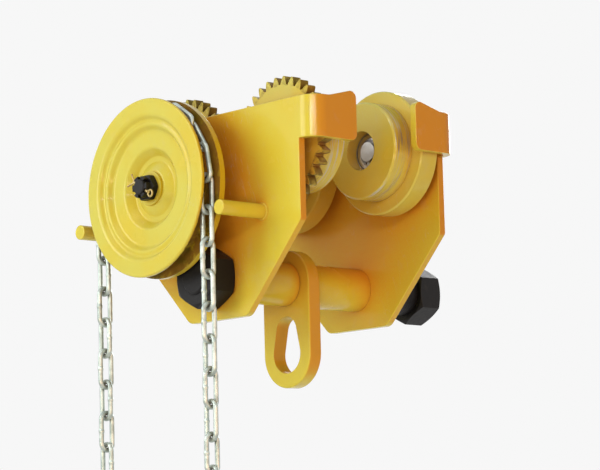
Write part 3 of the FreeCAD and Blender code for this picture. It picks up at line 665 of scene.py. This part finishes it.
@dataclass(frozen=True)
class BlackOxide(Finish):
    """Blackened forged steel, slightly oily."""

    colour: Colour = rgb(0.0065, 0.0065, 0.0070)
    worn: Colour = rgb(0.050, 0.048, 0.046)
    forging: Grain = Grain(330.0, 5.0)
    forging_depth: float = 0.09 * MM
    clouds: Grain = Grain(45.0, 4.0)
    cloud_depth: float = 0.15 * MM
    rim_radius: float = 1.2 * MM
    rim_edge_share: float = 2.5
    rim_forging_share: float = 0.6
    rim_limits: Limits = (0.55, 1.1)
    rim_most: float = 0.7
    dust_limits: Limits = (0.58, 0.84)
    dust_most: float = 0.06
    rough: float = 0.34
    forging_rough: float = 0.22
    rim_polish: float = 0.08
    specular: float = 0.22
    edge_radius: float = 1.0 * MM

    def sockets(self, graph: Graph) -> dict[str, Term]:
        """Dark steel with forging scale, dust and lighter edges.

        Args:
            graph: Node tree of the material.

        Returns:
            Values of the surface shader's sockets.
        """
        forging = self.forging.read(graph)
        clouds = self.clouds.read(graph)
        edge = graph.edges(self.rim_radius) * self.rim_edge_share
        rim = (edge + forging * self.rim_forging_share).ramp(*self.rim_limits)
        colour = graph.mix(rim * self.rim_most, self.colour, self.worn)
        colour = graph.mix(clouds.ramp(*self.dust_limits) * self.dust_most, colour, DUST)
        height = forging * self.forging_depth + clouds * self.cloud_depth
        return {
            "Base Color": colour,
            "Roughness": self.rough + forging * self.forging_rough - rim * self.rim_polish,
            "Specular IOR Level": self.specular,
            "Normal": graph.bump(height, graph.soft_normal(self.edge_radius)),
        }


@dataclass(frozen=True)
class ZincPlate(Finish):
    """Bright zinc plate with a pale passivated bloom."""

    colour: Colour = rgb(0.52, 0.60, 0.56)
    dull: Colour = rgb(0.36, 0.43, 0.40)
    dull_limits: Limits = (0.40, 0.66)
    dirt: Colour = rgb(0.10, 0.085, 0.06)
    dirt_most: float = 0.75
    corner_dirt: CornerDirt = CornerDirt(6.0 * MM, 0.5, (0.22, 0.85))
    clouds: Grain = Grain(120.0, 4.0)
    cloud_depth: float = 0.12 * MM
    grain: Grain = Grain(1400.0, 2.0)
    grain_depth: float = 0.02 * MM
    rough: float = 0.30
    cloud_rough: float = 0.20
    dirt_rough: float = 0.25
    metal: float = 0.72
    dirt_cover: float = 0.5
    edge_radius: float = 0.3 * MM

    def sockets(self, graph: Graph) -> dict[str, Term]:
        """Pale metal with cloudy dull patches and dirt in the corners.

        Args:
            graph: Node tree of the material.

        Returns:
            Values of the surface shader's sockets.
        """
        clouds = self.clouds.read(graph)
        colour = graph.mix(clouds.ramp(*self.dull_limits), self.colour, self.dull)
        dirt = self.corner_dirt.mask(graph, clouds) * self.dirt_most
        colour = graph.mix(dirt, colour, self.dirt)
        height = clouds * self.cloud_depth + self.grain.read(graph) * self.grain_depth
        return {
            "Base Color": colour,
            "Roughness": self.rough + clouds * self.cloud_rough + dirt * self.dirt_rough,
            "Metallic": self.metal - dirt * self.dirt_cover,
            "Normal": graph.bump(height, graph.soft_normal(self.edge_radius)),
        }


@dataclass(frozen=True)
class TurnedMetal(Finish):
    """Machined metal with fine turning marks about an axis along Y."""

    axis: Axis
    colour: Colour = rgb(0.52, 0.52, 0.52)
    stain: Colour = rgb(0.30, 0.27, 0.23)
    stain_limits: Limits = (0.42, 0.75)
    stain_most: float = 0.6
    grease: float = 0.35
    corner_grease: CornerDirt = CornerDirt(6.0 * MM, 0.5, (0.20, 0.85))
    grease_rough: float = 0.15
    grease_cover: float = 0.8
    clouds: Grain = Grain(70.0, 4.0)
    marks_per_metre: float = 2600.0
    mark_detail: float = 3.0
    mark_depth: float = 0.02 * MM
    mark_rough: float = 0.12
    rough: float = 0.27
    edge_radius: float = 0.4 * MM

    def sockets(self, graph: Graph) -> dict[str, Term]:
        """Metal with turning marks, oil stains and grease in the corners.

        Args:
            graph: Node tree of the material.

        Returns:
            Values of the surface shader's sockets.
        """
        away, along = graph.about(self.axis)
        lines = graph.vector(away * self.marks_per_metre, along * self.marks_per_metre, 0.0)
        marks = graph.noise(detail=self.mark_detail, where=lines)
        clouds = self.clouds.read(graph)
        stains = clouds.ramp(*self.stain_limits) * self.stain_most
        film = self.corner_grease.mask(graph, clouds) * self.grease
        return {
            "Base Color": graph.mix(film, graph.mix(stains, self.colour, self.stain), GREASE),
            "Roughness": self.rough + marks * self.mark_rough + film * self.grease_rough,
            "Metallic": 1 - film * self.grease_cover,
            "Normal": graph.bump(marks, graph.soft_normal(self.edge_radius), self.mark_depth),
        }


# Modelling helpers


class Bench:
    """Blender's modelling operators, used as by hand on one new piece at a time."""

    @staticmethod
    def clear() -> None:
        """Leaves edit mode and selects nothing."""
        if bpy.context.object and bpy.context.object.mode != "OBJECT":
            bpy.ops.object.mode_set(mode="OBJECT")
        bpy.ops.object.select_all(action="DESELECT")

    @staticmethod
    def take(name: str) -> bpy.types.Object:
        """Names the piece that was just added and puts its place into its mesh.

        Args:
            name: Name of the new piece.

        Returns:
            The piece, at the origin, unturned and unscaled.
        """
        piece = bpy.context.object
        piece.name = name
        piece.data.name = name
        bpy.ops.object.transform_apply(location=True, rotation=True, scale=True)
        return piece

    @staticmethod
    def pick(piece: bpy.types.Object) -> None:
        """Selects one piece alone and makes it the active one.

        Args:
            piece: Piece to work on.
        """
        Bench.clear()
        bpy.context.view_layer.objects.active = piece
        piece.select_set(True)

    @staticmethod
    def edit(piece: bpy.types.Object, chosen: Callable[[Vector], bool] = lambda place: True) -> None:
        """Enters edit mode with the vertices selected whose place passes a test.

        Args:
            piece: Piece to edit.
            chosen: Test of a vertex's place, which all pass if it is left out.
        """
        Bench.pick(piece)
        bpy.ops.object.mode_set(mode="EDIT")
        bpy.ops.mesh.select_mode(type="VERT")
        bpy.ops.mesh.select_all(action="DESELECT")
        bpy.ops.object.mode_set(mode="OBJECT")
        for vertex in piece.data.vertices:
            vertex.select = chosen(vertex.co)
        bpy.ops.object.mode_set(mode="EDIT")

    @staticmethod
    def done(piece: bpy.types.Object, smooth_deg: float = 40.0) -> bpy.types.Object:
        """Leaves edit mode, mends the faces' directions and smooths the shading.

        Args:
            piece: Piece to finish.
            smooth_deg: Edges sharper than this stay sharp.

        Returns:
            The same piece.
        """
        Bench.edit(piece)
        bpy.ops.mesh.remove_doubles(threshold=MERGE_DISTANCE)
        bpy.ops.mesh.normals_make_consistent(inside=False)
        bpy.ops.object.mode_set(mode="OBJECT")
        bpy.ops.object.shade_smooth_by_angle(angle=math.radians(smooth_deg))
        return piece

    @staticmethod
    def apply(piece: bpy.types.Object, kind: str, **settings: Any) -> None:
        """Adds a modifier and applies it.

        Args:
            piece: Piece that is changed.
            kind: Blender's name of the modifier type.
            **settings: Attributes of the modifier.
        """
        Bench.pick(piece)
        modifier = piece.modifiers.new(kind.lower(), kind)
        for key, value in settings.items():
            setattr(modifier, key, value)
        bpy.ops.object.modifier_apply(modifier=modifier.name)

    @staticmethod
    def join(name: str, pieces: Sequence[bpy.types.Object]) -> bpy.types.Object:
        """Joins pieces into one.

        Args:
            name: Name of the joined piece.
            pieces: Pieces to join.

        Returns:
            The joined piece.
        """
        Bench.clear()
        for piece in pieces:
            piece.select_set(True)
        bpy.context.view_layer.objects.active = pieces[0]
        bpy.ops.object.join()
        joined = bpy.context.object
        joined.name = name
        joined.data.name = name
        return joined

    @staticmethod
    def lathe(name: str, centre: Vector, profile: Sequence[tuple[float, float]],
              sides: int) -> bpy.types.Object:
        """Turns a shell about an axis along Y: a ring, extruded and resized from point to point.

        Args:
            name: Name of the piece.
            centre: Point on the axis that the profile's Y distances start from.
            profile: Points of (radius, distance along Y).
            sides: Number of sides of each ring.

        Returns:
            The open shell.
        """
        Bench.clear()
        radius, along = profile[0]
        start = centre + Vector((0, along, 0))
        bpy.ops.mesh.primitive_circle_add(vertices=sides, radius=radius, location=start,
                                          rotation=(QUARTER_TURN, 0, 0))
        piece = Bench.take(name)
        Bench.edit(piece)
        for next_radius, next_along in profile[1:]:
            move = {"value": (0, next_along - along, 0)}
            bpy.ops.mesh.extrude_region_move(TRANSFORM_OT_translate=move)
            grow = next_radius / radius
            ring_centre = centre + Vector((0, next_along, 0))
            bpy.ops.transform.resize(value=(grow, 1, grow), center_override=ring_centre)
            radius, along = next_radius, next_along
        return piece


def middle(node: str) -> Vector:
    """Centre of a node's box."""
    low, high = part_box(node)
    return (low + high) / 2


def axis_of(node: str) -> Axis:
    """X and Z of the axis of a turned node, from the centre of its box."""
    centre = middle(node)
    return centre.x, centre.z


def radius_of(node: str) -> float:
    """Radius of a turned node, from the width of its box."""
    low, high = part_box(node)
    return (high.x - low.x) / 2


def add_piece(piece: bpy.types.Object, body: str, finish: bpy.types.Material) -> None:
    """Gives a new piece its body and finish.

    Args:
        piece: New piece.
        body: Body that it moves with.
        finish: Its material.
    """
    piece.data.materials.clear()
    piece.data.materials.append(finish)
    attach(piece, body)
    LOG.info("piece %s on %s", piece.name, body)


@dataclass
class SubAssembly:
    """Part of the trolley that is dressed together."""

    nodes: dict[str, bpy.types.Object]

    def dress(self, finish: Finish, *names: str) -> bpy.types.Material:
        """Puts one finish on some CAD nodes.

        Args:
            finish: Finish for them.
            *names: Their node names.

        Returns:
            The material that they share.
        """
        material = finish.build()
        for name in names:
            for place in self.nodes[name].material_slots:
                place.material = material
            LOG.info("finish %s on %s", material.name, name)
        return material


@dataclass
class SideFrames(SubAssembly):
    """Both side plates, the guide pins and the strap, with the weld beads at the pins and axles."""

    pin_bead: float = 1.5 * MM
    collar_bead: float = 3.0 * MM
    ripple_pitch: float = 2.2 * MM
    ripple_depth: float = 0.35 * MM
    bead_sides: int = 10
    bead_smooth_deg: float = 60.0
    ring_steps: int = 3

    def build(self) -> None:
        """Dresses the plates and adds the beads."""
        # The plates, pins and beads take painted shade in their hollows; the sheet also on its faces
        # turned along +X, the tabs' outer faces among them
        sheet = Enamel("enamel_on_sheet", painted_side_shade=0.75, casting=0.06 * MM)
        self.dress(sheet, "front_side_plate", "rear_side_plate", "guide_strap", "drive_housing")
        pins = Enamel("enamel_on_pins", painted_shade=0.45, casting=0.03 * MM, wear=0.8)
        self.dress(pins, "right_guide_pin", "left_guide_pin")
        self.dress(BlackOxide("black_small_bolts"), "drive_housing_bolts", "guide_strap_bolts")
        bead = Enamel("enamel_on_weld", casting=0.2 * MM, grime=0.8).build()
        seats = {
            "right_guide_pin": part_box("front_side_plate")[0].y,
            "left_guide_pin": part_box("guide_strap")[0].y,
        }
        for node, seat in seats.items():
            self._bead(node, seat, self.pin_bead, bead)
        # The spacer tubes end at the plates' inner faces, where the collars of the axles are welded
        inner_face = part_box("rear_spacer_tube")[1].y
        for corner in Corner:
            node = corner.prefix + "_axle"
            self._bead(node, math.copysign(inner_face, middle(node).y), self.collar_bead, bead)

    def _bead(self, node: str, seat: float, leg: float, finish: bpy.types.Material) -> None:
        """Adds a rippled weld bead round the foot of a round piece.

        Args:
            node: Round piece that stands on the seat.
            seat: Y of the seat's face.
            leg: Half thickness of the bead.
            finish: Its material.
        """
        x, z = axis_of(node)
        radius = radius_of(node)
        ripples = round(FULL_TURN * radius / self.ripple_pitch)
        Bench.clear()
        bpy.ops.mesh.primitive_torus_add(
            location=(x, seat, z), rotation=(QUARTER_TURN, 0, 0), major_radius=radius, minor_radius=leg,
            major_segments=ripples * self.ring_steps, minor_segments=self.bead_sides)
        piece = Bench.take(node + "_weld")
        turn = FULL_TURN / ripples
        half_step = turn / self.ring_steps / 2

        def on_crest(place: Vector) -> bool:
            """Whether a point lies on one of the ripples' crests."""
            angle = math.atan2(place.z - z, place.x - x) % turn
            return angle < half_step or angle > turn - half_step

        Bench.edit(piece, on_crest)
        bpy.ops.transform.shrink_fatten(value=self.ripple_depth)
        Bench.done(piece, self.bead_smooth_deg)
        add_piece(piece, "frame", finish)


@dataclass
class TrackWheels(SubAssembly):
    """The four wheels with their axles and bearings, and the bearings' dust shields."""

    tread_radius: float = 50.0 * MM
    tread_slack: float = 1.0 * MM
    tread_stretch: Limits = (35.0 * MM, 57.0 * MM)
    tooth_root: float = 55.0 * MM
    tooth_clean_face: float = 0.8 * MM
    pale: Colour = rgb(0.600, 0.595, 0.125)
    shield_wall: float = 0.4 * MM
    shield_gap: float = 0.3 * MM
    shield_inset: float = 0.5 * MM
    shield_step: float = 0.5 * MM
    shield_share: float = 0.5
    shield_sides: int = 72

    def build(self) -> None:
        """Dresses each corner and adds its shields."""
        for corner in Corner:
            self._corner(corner)

    def _corner(self, corner: Corner) -> None:
        """Dresses one wheel and its bearings.

        Args:
            corner: Which wheel.
        """
        prefix = corner.prefix
        axis = axis_of(prefix + "_axle")
        self.dress(self._enamel(corner, axis), corner.wheel)
        turned = ("_axle", "_inner_races", "_outer_races", "_bearing_balls")
        steel = TurnedMetal(prefix + "_turned_steel", axis)
        self.dress(steel, *(prefix + ending for ending in turned))
        spring = TurnedMetal(prefix + "_spring_steel", axis, colour=SPRING_STEEL, rough=0.35)
        self.dress(spring, prefix + "_axle_circlip")
        self._shields(corner, axis)

    def _enamel(self, corner: Corner, axis: Axis) -> Enamel:
        """Works out the paint of one wheel, rubbed on the tread and greasy on the teeth.

        Args:
            corner: Which wheel.
            axis: X and Z of the wheel's axis.

        Returns:
            The finish.
        """
        low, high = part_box(corner.wheel)
        slack = self.tread_slack
        near, far = self.tread_stretch
        stretch = (near, far) if corner.idle else (-far, -near)
        tread = Band(axis, (self.tread_radius - slack, self.tread_radius + slack), stretch)
        face = low.y + self.tooth_clean_face
        teeth = Band(axis, (self.tooth_root, (high.z - low.z) / 2), (face, -far))
        greasy = () if corner.idle else (teeth,)
        # Painted shade in the wheels' hollows, at half strength
        return Enamel(corner.wheel + "_enamel", colour=self.pale, casting=0.2 * MM, painted_shade=0.5,
                      grime=0.8, rubbed=(tread,), greasy=greasy, grease=0.72, gloss=0.45)

    def _shields(self, corner: Corner, axis: Axis) -> None:
        """Adds the pressed rings that close a wheel's bearings on both sides.

        Args:
            corner: Which wheel.
            axis: X and Z of the wheel's axis.
        """
        races = corner.prefix + "_inner_races"
        race_radius = radius_of(races)
        wall = radius_of(corner.prefix + "_outer_races") - race_radius
        inner = race_radius + self.shield_gap
        outer = inner + wall * self.shield_share
        step = self.shield_step
        low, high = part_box(races)
        rings = []
        for face, inward in ((low.y, 1.0), (high.y, -1.0)):
            centre = Vector((axis[0], face + inward * self.shield_inset, axis[1]))
            profile = [
                (inner, inward * step), (inner + step, 0.0),
                (outer - 2 * step, 0.0), (outer - step, inward * step),
            ]
            ring = Bench.lathe("shield", centre, profile, self.shield_sides)
            Bench.done(ring)
            Bench.apply(ring, "SOLIDIFY", thickness=self.shield_wall, offset=0.0)
            rings.append(ring)
        piece = Bench.join(corner.prefix + "_bearing_shields", rings)
        pressed = corner.prefix + "_pressed_steel"
        finish = TurnedMetal(pressed, axis, colour=PRESSED_STEEL, rough=0.34)
        add_piece(piece, corner.wheel, finish.build())


@dataclass
class GearTrain(SubAssembly):
    """Pinions, gears and shafts between the chain wheel and the toothed wheels."""

    gear_grease: float = 0.8

    def build(self) -> None:
        """Dresses the gears, shafts and bushes."""
        middle_axis = axis_of("intermediate_axle")
        drive_axis = axis_of("drive_shaft")
        greased = {"colour": GEAR_STEEL, "grease": self.gear_grease}
        gears = TurnedMetal("greased_gear_steel", middle_axis, **greased)
        self.dress(gears, "intermediate_pinion", "intermediate_gear")
        small = TurnedMetal("greased_pinion_steel", drive_axis, **greased)
        self.dress(small, "drive_pinion", "drive_pinion_circlip", "drive_pinion_key", "chain_wheel_key")
        stub = TurnedMetal("stub_axle_steel", middle_axis)
        self.dress(stub, "intermediate_axle", "intermediate_circlip")
        self.dress(BlackOxide("black_drive_shaft"), "drive_shaft")
        warm = {"colour": BRONZE, "stain": BRONZE_STAIN}
        self.dress(TurnedMetal("bush_bronze", drive_axis, **warm), "drive_bush", "thrust_washer")
        self.dress(TurnedMetal("gear_bush_bronze", middle_axis, **warm), "intermediate_bush")


@dataclass
class ChainDrive(SubAssembly):
    """Chain wheel and the fastening on its hub."""

    groove_radii: Limits = (72.5 * MM, 92.0 * MM)
    groove_front: float = 3.2 * MM
    groove_width: float = 19.7 * MM
    pale: Colour = rgb(0.620, 0.612, 0.098)
    # Deeper yellow of the painted shade in the wheel's channels and recesses
    deep_painted_shade: Colour = rgb(0.56, 0.40, 0.012)
    cotter: Colour = rgb(0.50, 0.40, 0.17)
    cotter_dull: Colour = rgb(0.36, 0.27, 0.11)

    def build(self) -> None:
        """Dresses the wheel, its nut, washer and cotter."""
        low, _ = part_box("chain_wheel")
        axis = axis_of("chain_wheel")
        front = low.y + self.groove_front
        groove = Band(axis, self.groove_radii, (front, front + self.groove_width))
        # Painted shade: deeper yellow in the channels and hub recess, and on faces turned along +X such
        # as the side of the hub's nose
        wheel = Enamel("chain_wheel_enamel", colour=self.pale, painted_shade_colour=self.deep_painted_shade,
                       painted_shade_reach=30.0 * MM, painted_shade_limits=(0.10, 0.45), painted_shade=0.8, painted_side_shade=0.9,
                       casting=0.22 * MM, greasy=(groove,), grease=0.78)
        self.dress(wheel, "chain_wheel", "hub_washer")
        self.dress(BlackOxide("black_castle_nut"), "castle_nut")
        cotter = ZincPlate("yellowed_cotter_zinc", colour=self.cotter, dull=self.cotter_dull)
        self.dress(cotter, "cotter_pin")


@dataclass
class HandChain(SubAssembly):
    """Endless chain in welded links, with the upset of each link's weld."""

    wire: float = 5.0 * MM
    inner_length: float = 32.5 * MM
    inner_width: float = 8.5 * MM
    play: float = 0.85 * MM
    wheel_sides: int = 16
    fall_links: int = 10
    weld_length: float = 5.6 * MM
    weld_swell: float = 1.17
    weld_sides: int = 14
    weld_smooth_deg: float = 75.0
    just_past: float = 1.1

    def build(self) -> None:
        """Dresses the links and adds the welds."""
        finish = self.dress(ZincPlate("zinc_chain"), "hand_chain")
        pattern = self._weld()
        copies = [self._copy(pattern, place) for place in self._weld_places()]
        bpy.data.objects.remove(pattern)
        add_piece(Bench.join("chain_link_welds", copies), "hand_chain", finish)

    def _weld(self) -> bpy.types.Object:
        """Models one swelling of the wire, long way along X.

        Returns:
            The pattern piece, about the origin.
        """
        Bench.clear()
        bpy.ops.mesh.primitive_cylinder_add(
            vertices=self.weld_sides, radius=self.wire / 2, depth=self.weld_length,
            end_fill_type="NOTHING", rotation=(0, QUARTER_TURN, 0))
        piece = Bench.take("weld")
        outer_ring = self.weld_length / 4
        inner_ring = outer_ring / 2
        for cut in (-outer_ring, -inner_ring, 0.0, inner_ring, outer_ring):
            Bench.edit(piece)
            bpy.ops.mesh.bisect(plane_co=(cut, 0, 0), plane_no=(1, 0, 0))
        swell = (self.weld_swell + 1) / 2
        for ring, grow in ((outer_ring, swell), (inner_ring, self.weld_swell / swell)):
            Bench.edit(piece, lambda place, limit=ring * self.just_past: abs(place.x) < limit)
            bpy.ops.transform.resize(value=(1, grow, grow), center_override=(0, 0, 0))
        return Bench.done(piece, self.weld_smooth_deg)

    @staticmethod
    def _copy(pattern: bpy.types.Object, place: Matrix) -> bpy.types.Object:
        """Copies a pattern piece with its own mesh.

        Args:
            pattern: Piece about the origin.
            place: Where the copy goes.

        Returns:
            The copy.
        """
        mesh = pattern.data.copy()
        mesh.transform(place)
        copied = bpy.data.objects.new(pattern.name + "_copy", mesh)
        bpy.context.scene.collection.objects.link(copied)
        return copied

    def _corners(self) -> list[tuple[float, float]]:
        """Works out the points between the links, over the wheel and once round the loop.

        Returns:
            Points of (x, z).
        """
        centre_x, centre_z = axis_of("chain_wheel")
        spacing = self.inner_length - self.play
        step = FULL_TURN / self.wheel_sides
        radius = spacing / (2 * math.sin(step / 2))
        half_turn = range(self.wheel_sides // 2 + 1)
        falls = range(1, self.fall_links)
        drop = self.fall_links * spacing
        over = [(radius * math.cos(k * step), radius * math.sin(k * step)) for k in half_turn]
        left = [(-radius, -k * spacing) for k in falls]
        under = [(-x, -drop - z) for x, z in over]
        right = [(radius, -k * spacing) for k in reversed(falls)]
        return [(centre_x + x, centre_z + z) for x, z in over + left + under + right]

    def _weld_places(self) -> list[Matrix]:
        """Works out where each link's weld goes, at the middle of one of its straight sides.

        Returns:
            One place for each link. Every second link is turned by a quarter.
        """
        plane = middle("hand_chain").y
        corners = self._corners()
        side = Matrix.Translation((0, 0, (self.inner_width + self.wire) / 2))
        places = []
        for k, (x0, z0) in enumerate(corners):
            x1, z1 = corners[(k + 1) % len(corners)]
            lean = Matrix.Rotation(-math.atan2(z1 - z0, x1 - x0), 4, "Y")
            roll = Matrix.Rotation(QUARTER_TURN * (k % 2), 4, "X")
            there = Matrix.Translation(((x0 + x1) / 2, plane, (z0 + z1) / 2))
            places.append(there @ lean @ roll @ side)
        return places


@dataclass
class Suspension(SubAssembly):
    """Suspension shaft, nuts, spacers and the load eye."""

    def build(self) -> None:
        """Dresses the shaft, its nuts and spacers and the eye."""
        black = BlackOxide("black_suspension_steel")
        self.dress(black, "suspension_shaft", "front_shaft_nut", "rear_shaft_nut", "spare_spacer_rings")
        # The spacers and eye take painted shade in their hollows, and the eye also on its faces turned
        # along +X
        tube = Enamel("enamel_on_spacers", casting=0.08 * MM)
        self.dress(tube, "front_spacer_tube", "rear_spacer_tube")
        eye = Enamel("enamel_on_load_eye", painted_shade=0.6, painted_side_shade=0.65, casting=0.14 * MM, wear=0.8)
        self.dress(eye, "load_eye")


# Studio


@dataclass(frozen=True)
class Lamp:
    """Soft rectangular lamp that faces the trolley."""

    name: str
    azimuth_deg: float
    elevation_deg: float
    distance: float
    width: float
    height: float
    watts: float
    colour: tuple[float, float, float] = (1.0, 1.0, 1.0)


@dataclass
class Studio:
    """Floor, lamps, surrounding light and camera."""

    aim: Vector
    floor_height: float = -0.62
    floor_size: float = 9.0
    floor_plainness: float = 0.88
    floor_tones: tuple[Colour, Colour] = (rgb(0.80, 0.80, 0.79), rgb(0.84, 0.84, 0.83))
    floor_mottle: Grain = Grain(3.0, 2.0)
    floor_rough: float = 0.75
    ambient: Colour = rgb(0.18, 0.122, 0.079)
    backdrop: Colour = rgb(0.93, 0.93, 0.93)
    camera_azimuth_deg: float = 47.24
    camera_elevation_deg: float = -8.119
    camera_roll_deg: float = -1.5
    camera_distance: float = 2.6232
    focal_pixels: float = 2549.4
    lamps: tuple[Lamp, ...] = (
        Lamp("key_lamp", azimuth_deg=-25.0, elevation_deg=18.0, distance=2.4,
             width=1.4, height=1.4, watts=28.0),
        Lamp("strip_lamp", azimuth_deg=42.0, elevation_deg=12.3, distance=3.0,
             width=2.0, height=0.08, watts=14.0),
        Lamp("side_lamp", azimuth_deg=88.0, elevation_deg=-8.0, distance=2.8,
             width=1.4, height=0.9, watts=23.0, colour=(1.0, 0.40, 0.16)),
        Lamp("low_lamp", azimuth_deg=32.0, elevation_deg=-10.5, distance=2.4,
             width=1.6, height=0.25, watts=16.5, colour=(1.0, 0.70, 0.38)),
        Lamp("over_lamp", azimuth_deg=20.0, elevation_deg=62.0, distance=2.6,
             width=1.4, height=1.4, watts=9.0),
        Lamp("back_lamp", azimuth_deg=204.0, elevation_deg=18.0, distance=2.8,
             width=1.4, height=1.0, watts=38.0),
    )

    def _from(self, azimuth_deg: float, elevation_deg: float, distance: float) -> Vector:
        """Finds a place that is seen from the trolley at a viewing angle.

        Args:
            azimuth_deg: Angle round the trolley, 0 in front of its geared side.
            elevation_deg: Angle above the level.
            distance: Distance from the point that is aimed at.

        Returns:
            The place.
        """
        azimuth, elevation = math.radians(azimuth_deg), math.radians(elevation_deg)
        flat = math.cos(elevation)
        way = Vector((math.sin(azimuth) * flat, -math.cos(azimuth) * flat, math.sin(elevation)))
        return self.aim + way * distance

    def _facing(self, place: Vector, roll_deg: float = 0.0) -> Matrix:
        """Matrix of a lamp or camera at a place that looks at the point that is aimed at."""
        turn = (self.aim - place).to_track_quat("-Z", "Y").to_matrix().to_4x4()
        return Matrix.Translation(place) @ turn @ Matrix.Rotation(math.radians(roll_deg), 4, "Z")

    def build(self) -> None:
        """Sets up the whole studio."""
        bpy.context.scene.view_settings.view_transform = "Standard"
        self._world()
        self._floor()
        for lamp in self.lamps:
            self._lamp(lamp)
        self._camera()

    def _world(self) -> None:
        """Even light all round, which shows as a pale backdrop."""
        world = bpy.data.worlds.new("studio_surround")
        bpy.context.scene.world = world
        graph = Graph(world)
        colour = graph.mix(graph.seen(), self.ambient, self.backdrop)
        graph.end(graph.node("ShaderNodeBackground", inputs={"Color": colour, "Strength": 1.0}))

    def _floor(self) -> None:
        """Pale floor below the chain's loop, nearly as plain to the camera as the backdrop."""
        Bench.clear()
        bpy.ops.mesh.primitive_plane_add(size=self.floor_size, location=(0, 0, self.floor_height))
        floor = Bench.take("studio_floor")
        material = bpy.data.materials.new("pale_floor")
        graph = Graph(material)
        tone = graph.mix(self.floor_mottle.read(graph), *self.floor_tones)
        inputs = {"Base Color": tone, "Roughness": self.floor_rough}
        matt = graph.node("ShaderNodeBsdfPrincipled", inputs=inputs)
        plain = graph.node("ShaderNodeEmission", inputs={"Color": self.backdrop, "Strength": 1.0})
        mask = graph.seen() * self.floor_plainness
        graph.end(graph.node("ShaderNodeMixShader", inputs={0: mask, 1: matt, 2: plain}))
        floor.data.materials.append(material)

    def _lamp(self, lamp: Lamp) -> None:
        """Adds one lamp.

        Args:
            lamp: Its place, size and strength.
        """
        data = bpy.data.lights.new(lamp.name, "AREA")
        data.shape = "RECTANGLE"
        data.size = lamp.width
        data.size_y = lamp.height
        data.energy = lamp.watts
        data.color = lamp.colour
        made = bpy.data.objects.new(lamp.name, data)
        made.matrix_world = self._facing(
            self._from(lamp.azimuth_deg, lamp.elevation_deg, lamp.distance))
        made.visible_camera = False
        bpy.context.scene.collection.objects.link(made)

    def _camera(self) -> None:
        """Adds the camera at the photograph's viewing angle."""
        data = bpy.data.cameras.new("photo_camera")
        data.sensor_fit = "HORIZONTAL"
        data.sensor_width = SENSOR_WIDTH_MM
        data.lens = self.focal_pixels / IMAGE_WIDTH_PX * SENSOR_WIDTH_MM
        made = bpy.data.objects.new("photo_camera", data)
        place = self._from(self.camera_azimuth_deg, self.camera_elevation_deg, self.camera_distance)
        made.matrix_world = self._facing(place, self.camera_roll_deg)
        bpy.context.scene.collection.objects.link(made)
        bpy.context.scene.camera = made


def main() -> None:
    """Loads the frame, dresses every sub-assembly and sets up the studio."""
    logging.basicConfig(level=logging.INFO, format="%(message)s")
    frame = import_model()
    nodes = frame["nodes"]
    for kind in (SideFrames, TrackWheels, GearTrain, ChainDrive, HandChain, Suspension):
        kind(nodes).build()
    Studio(Vector(AIM)).build()


if __name__ == "__main__":
    main()
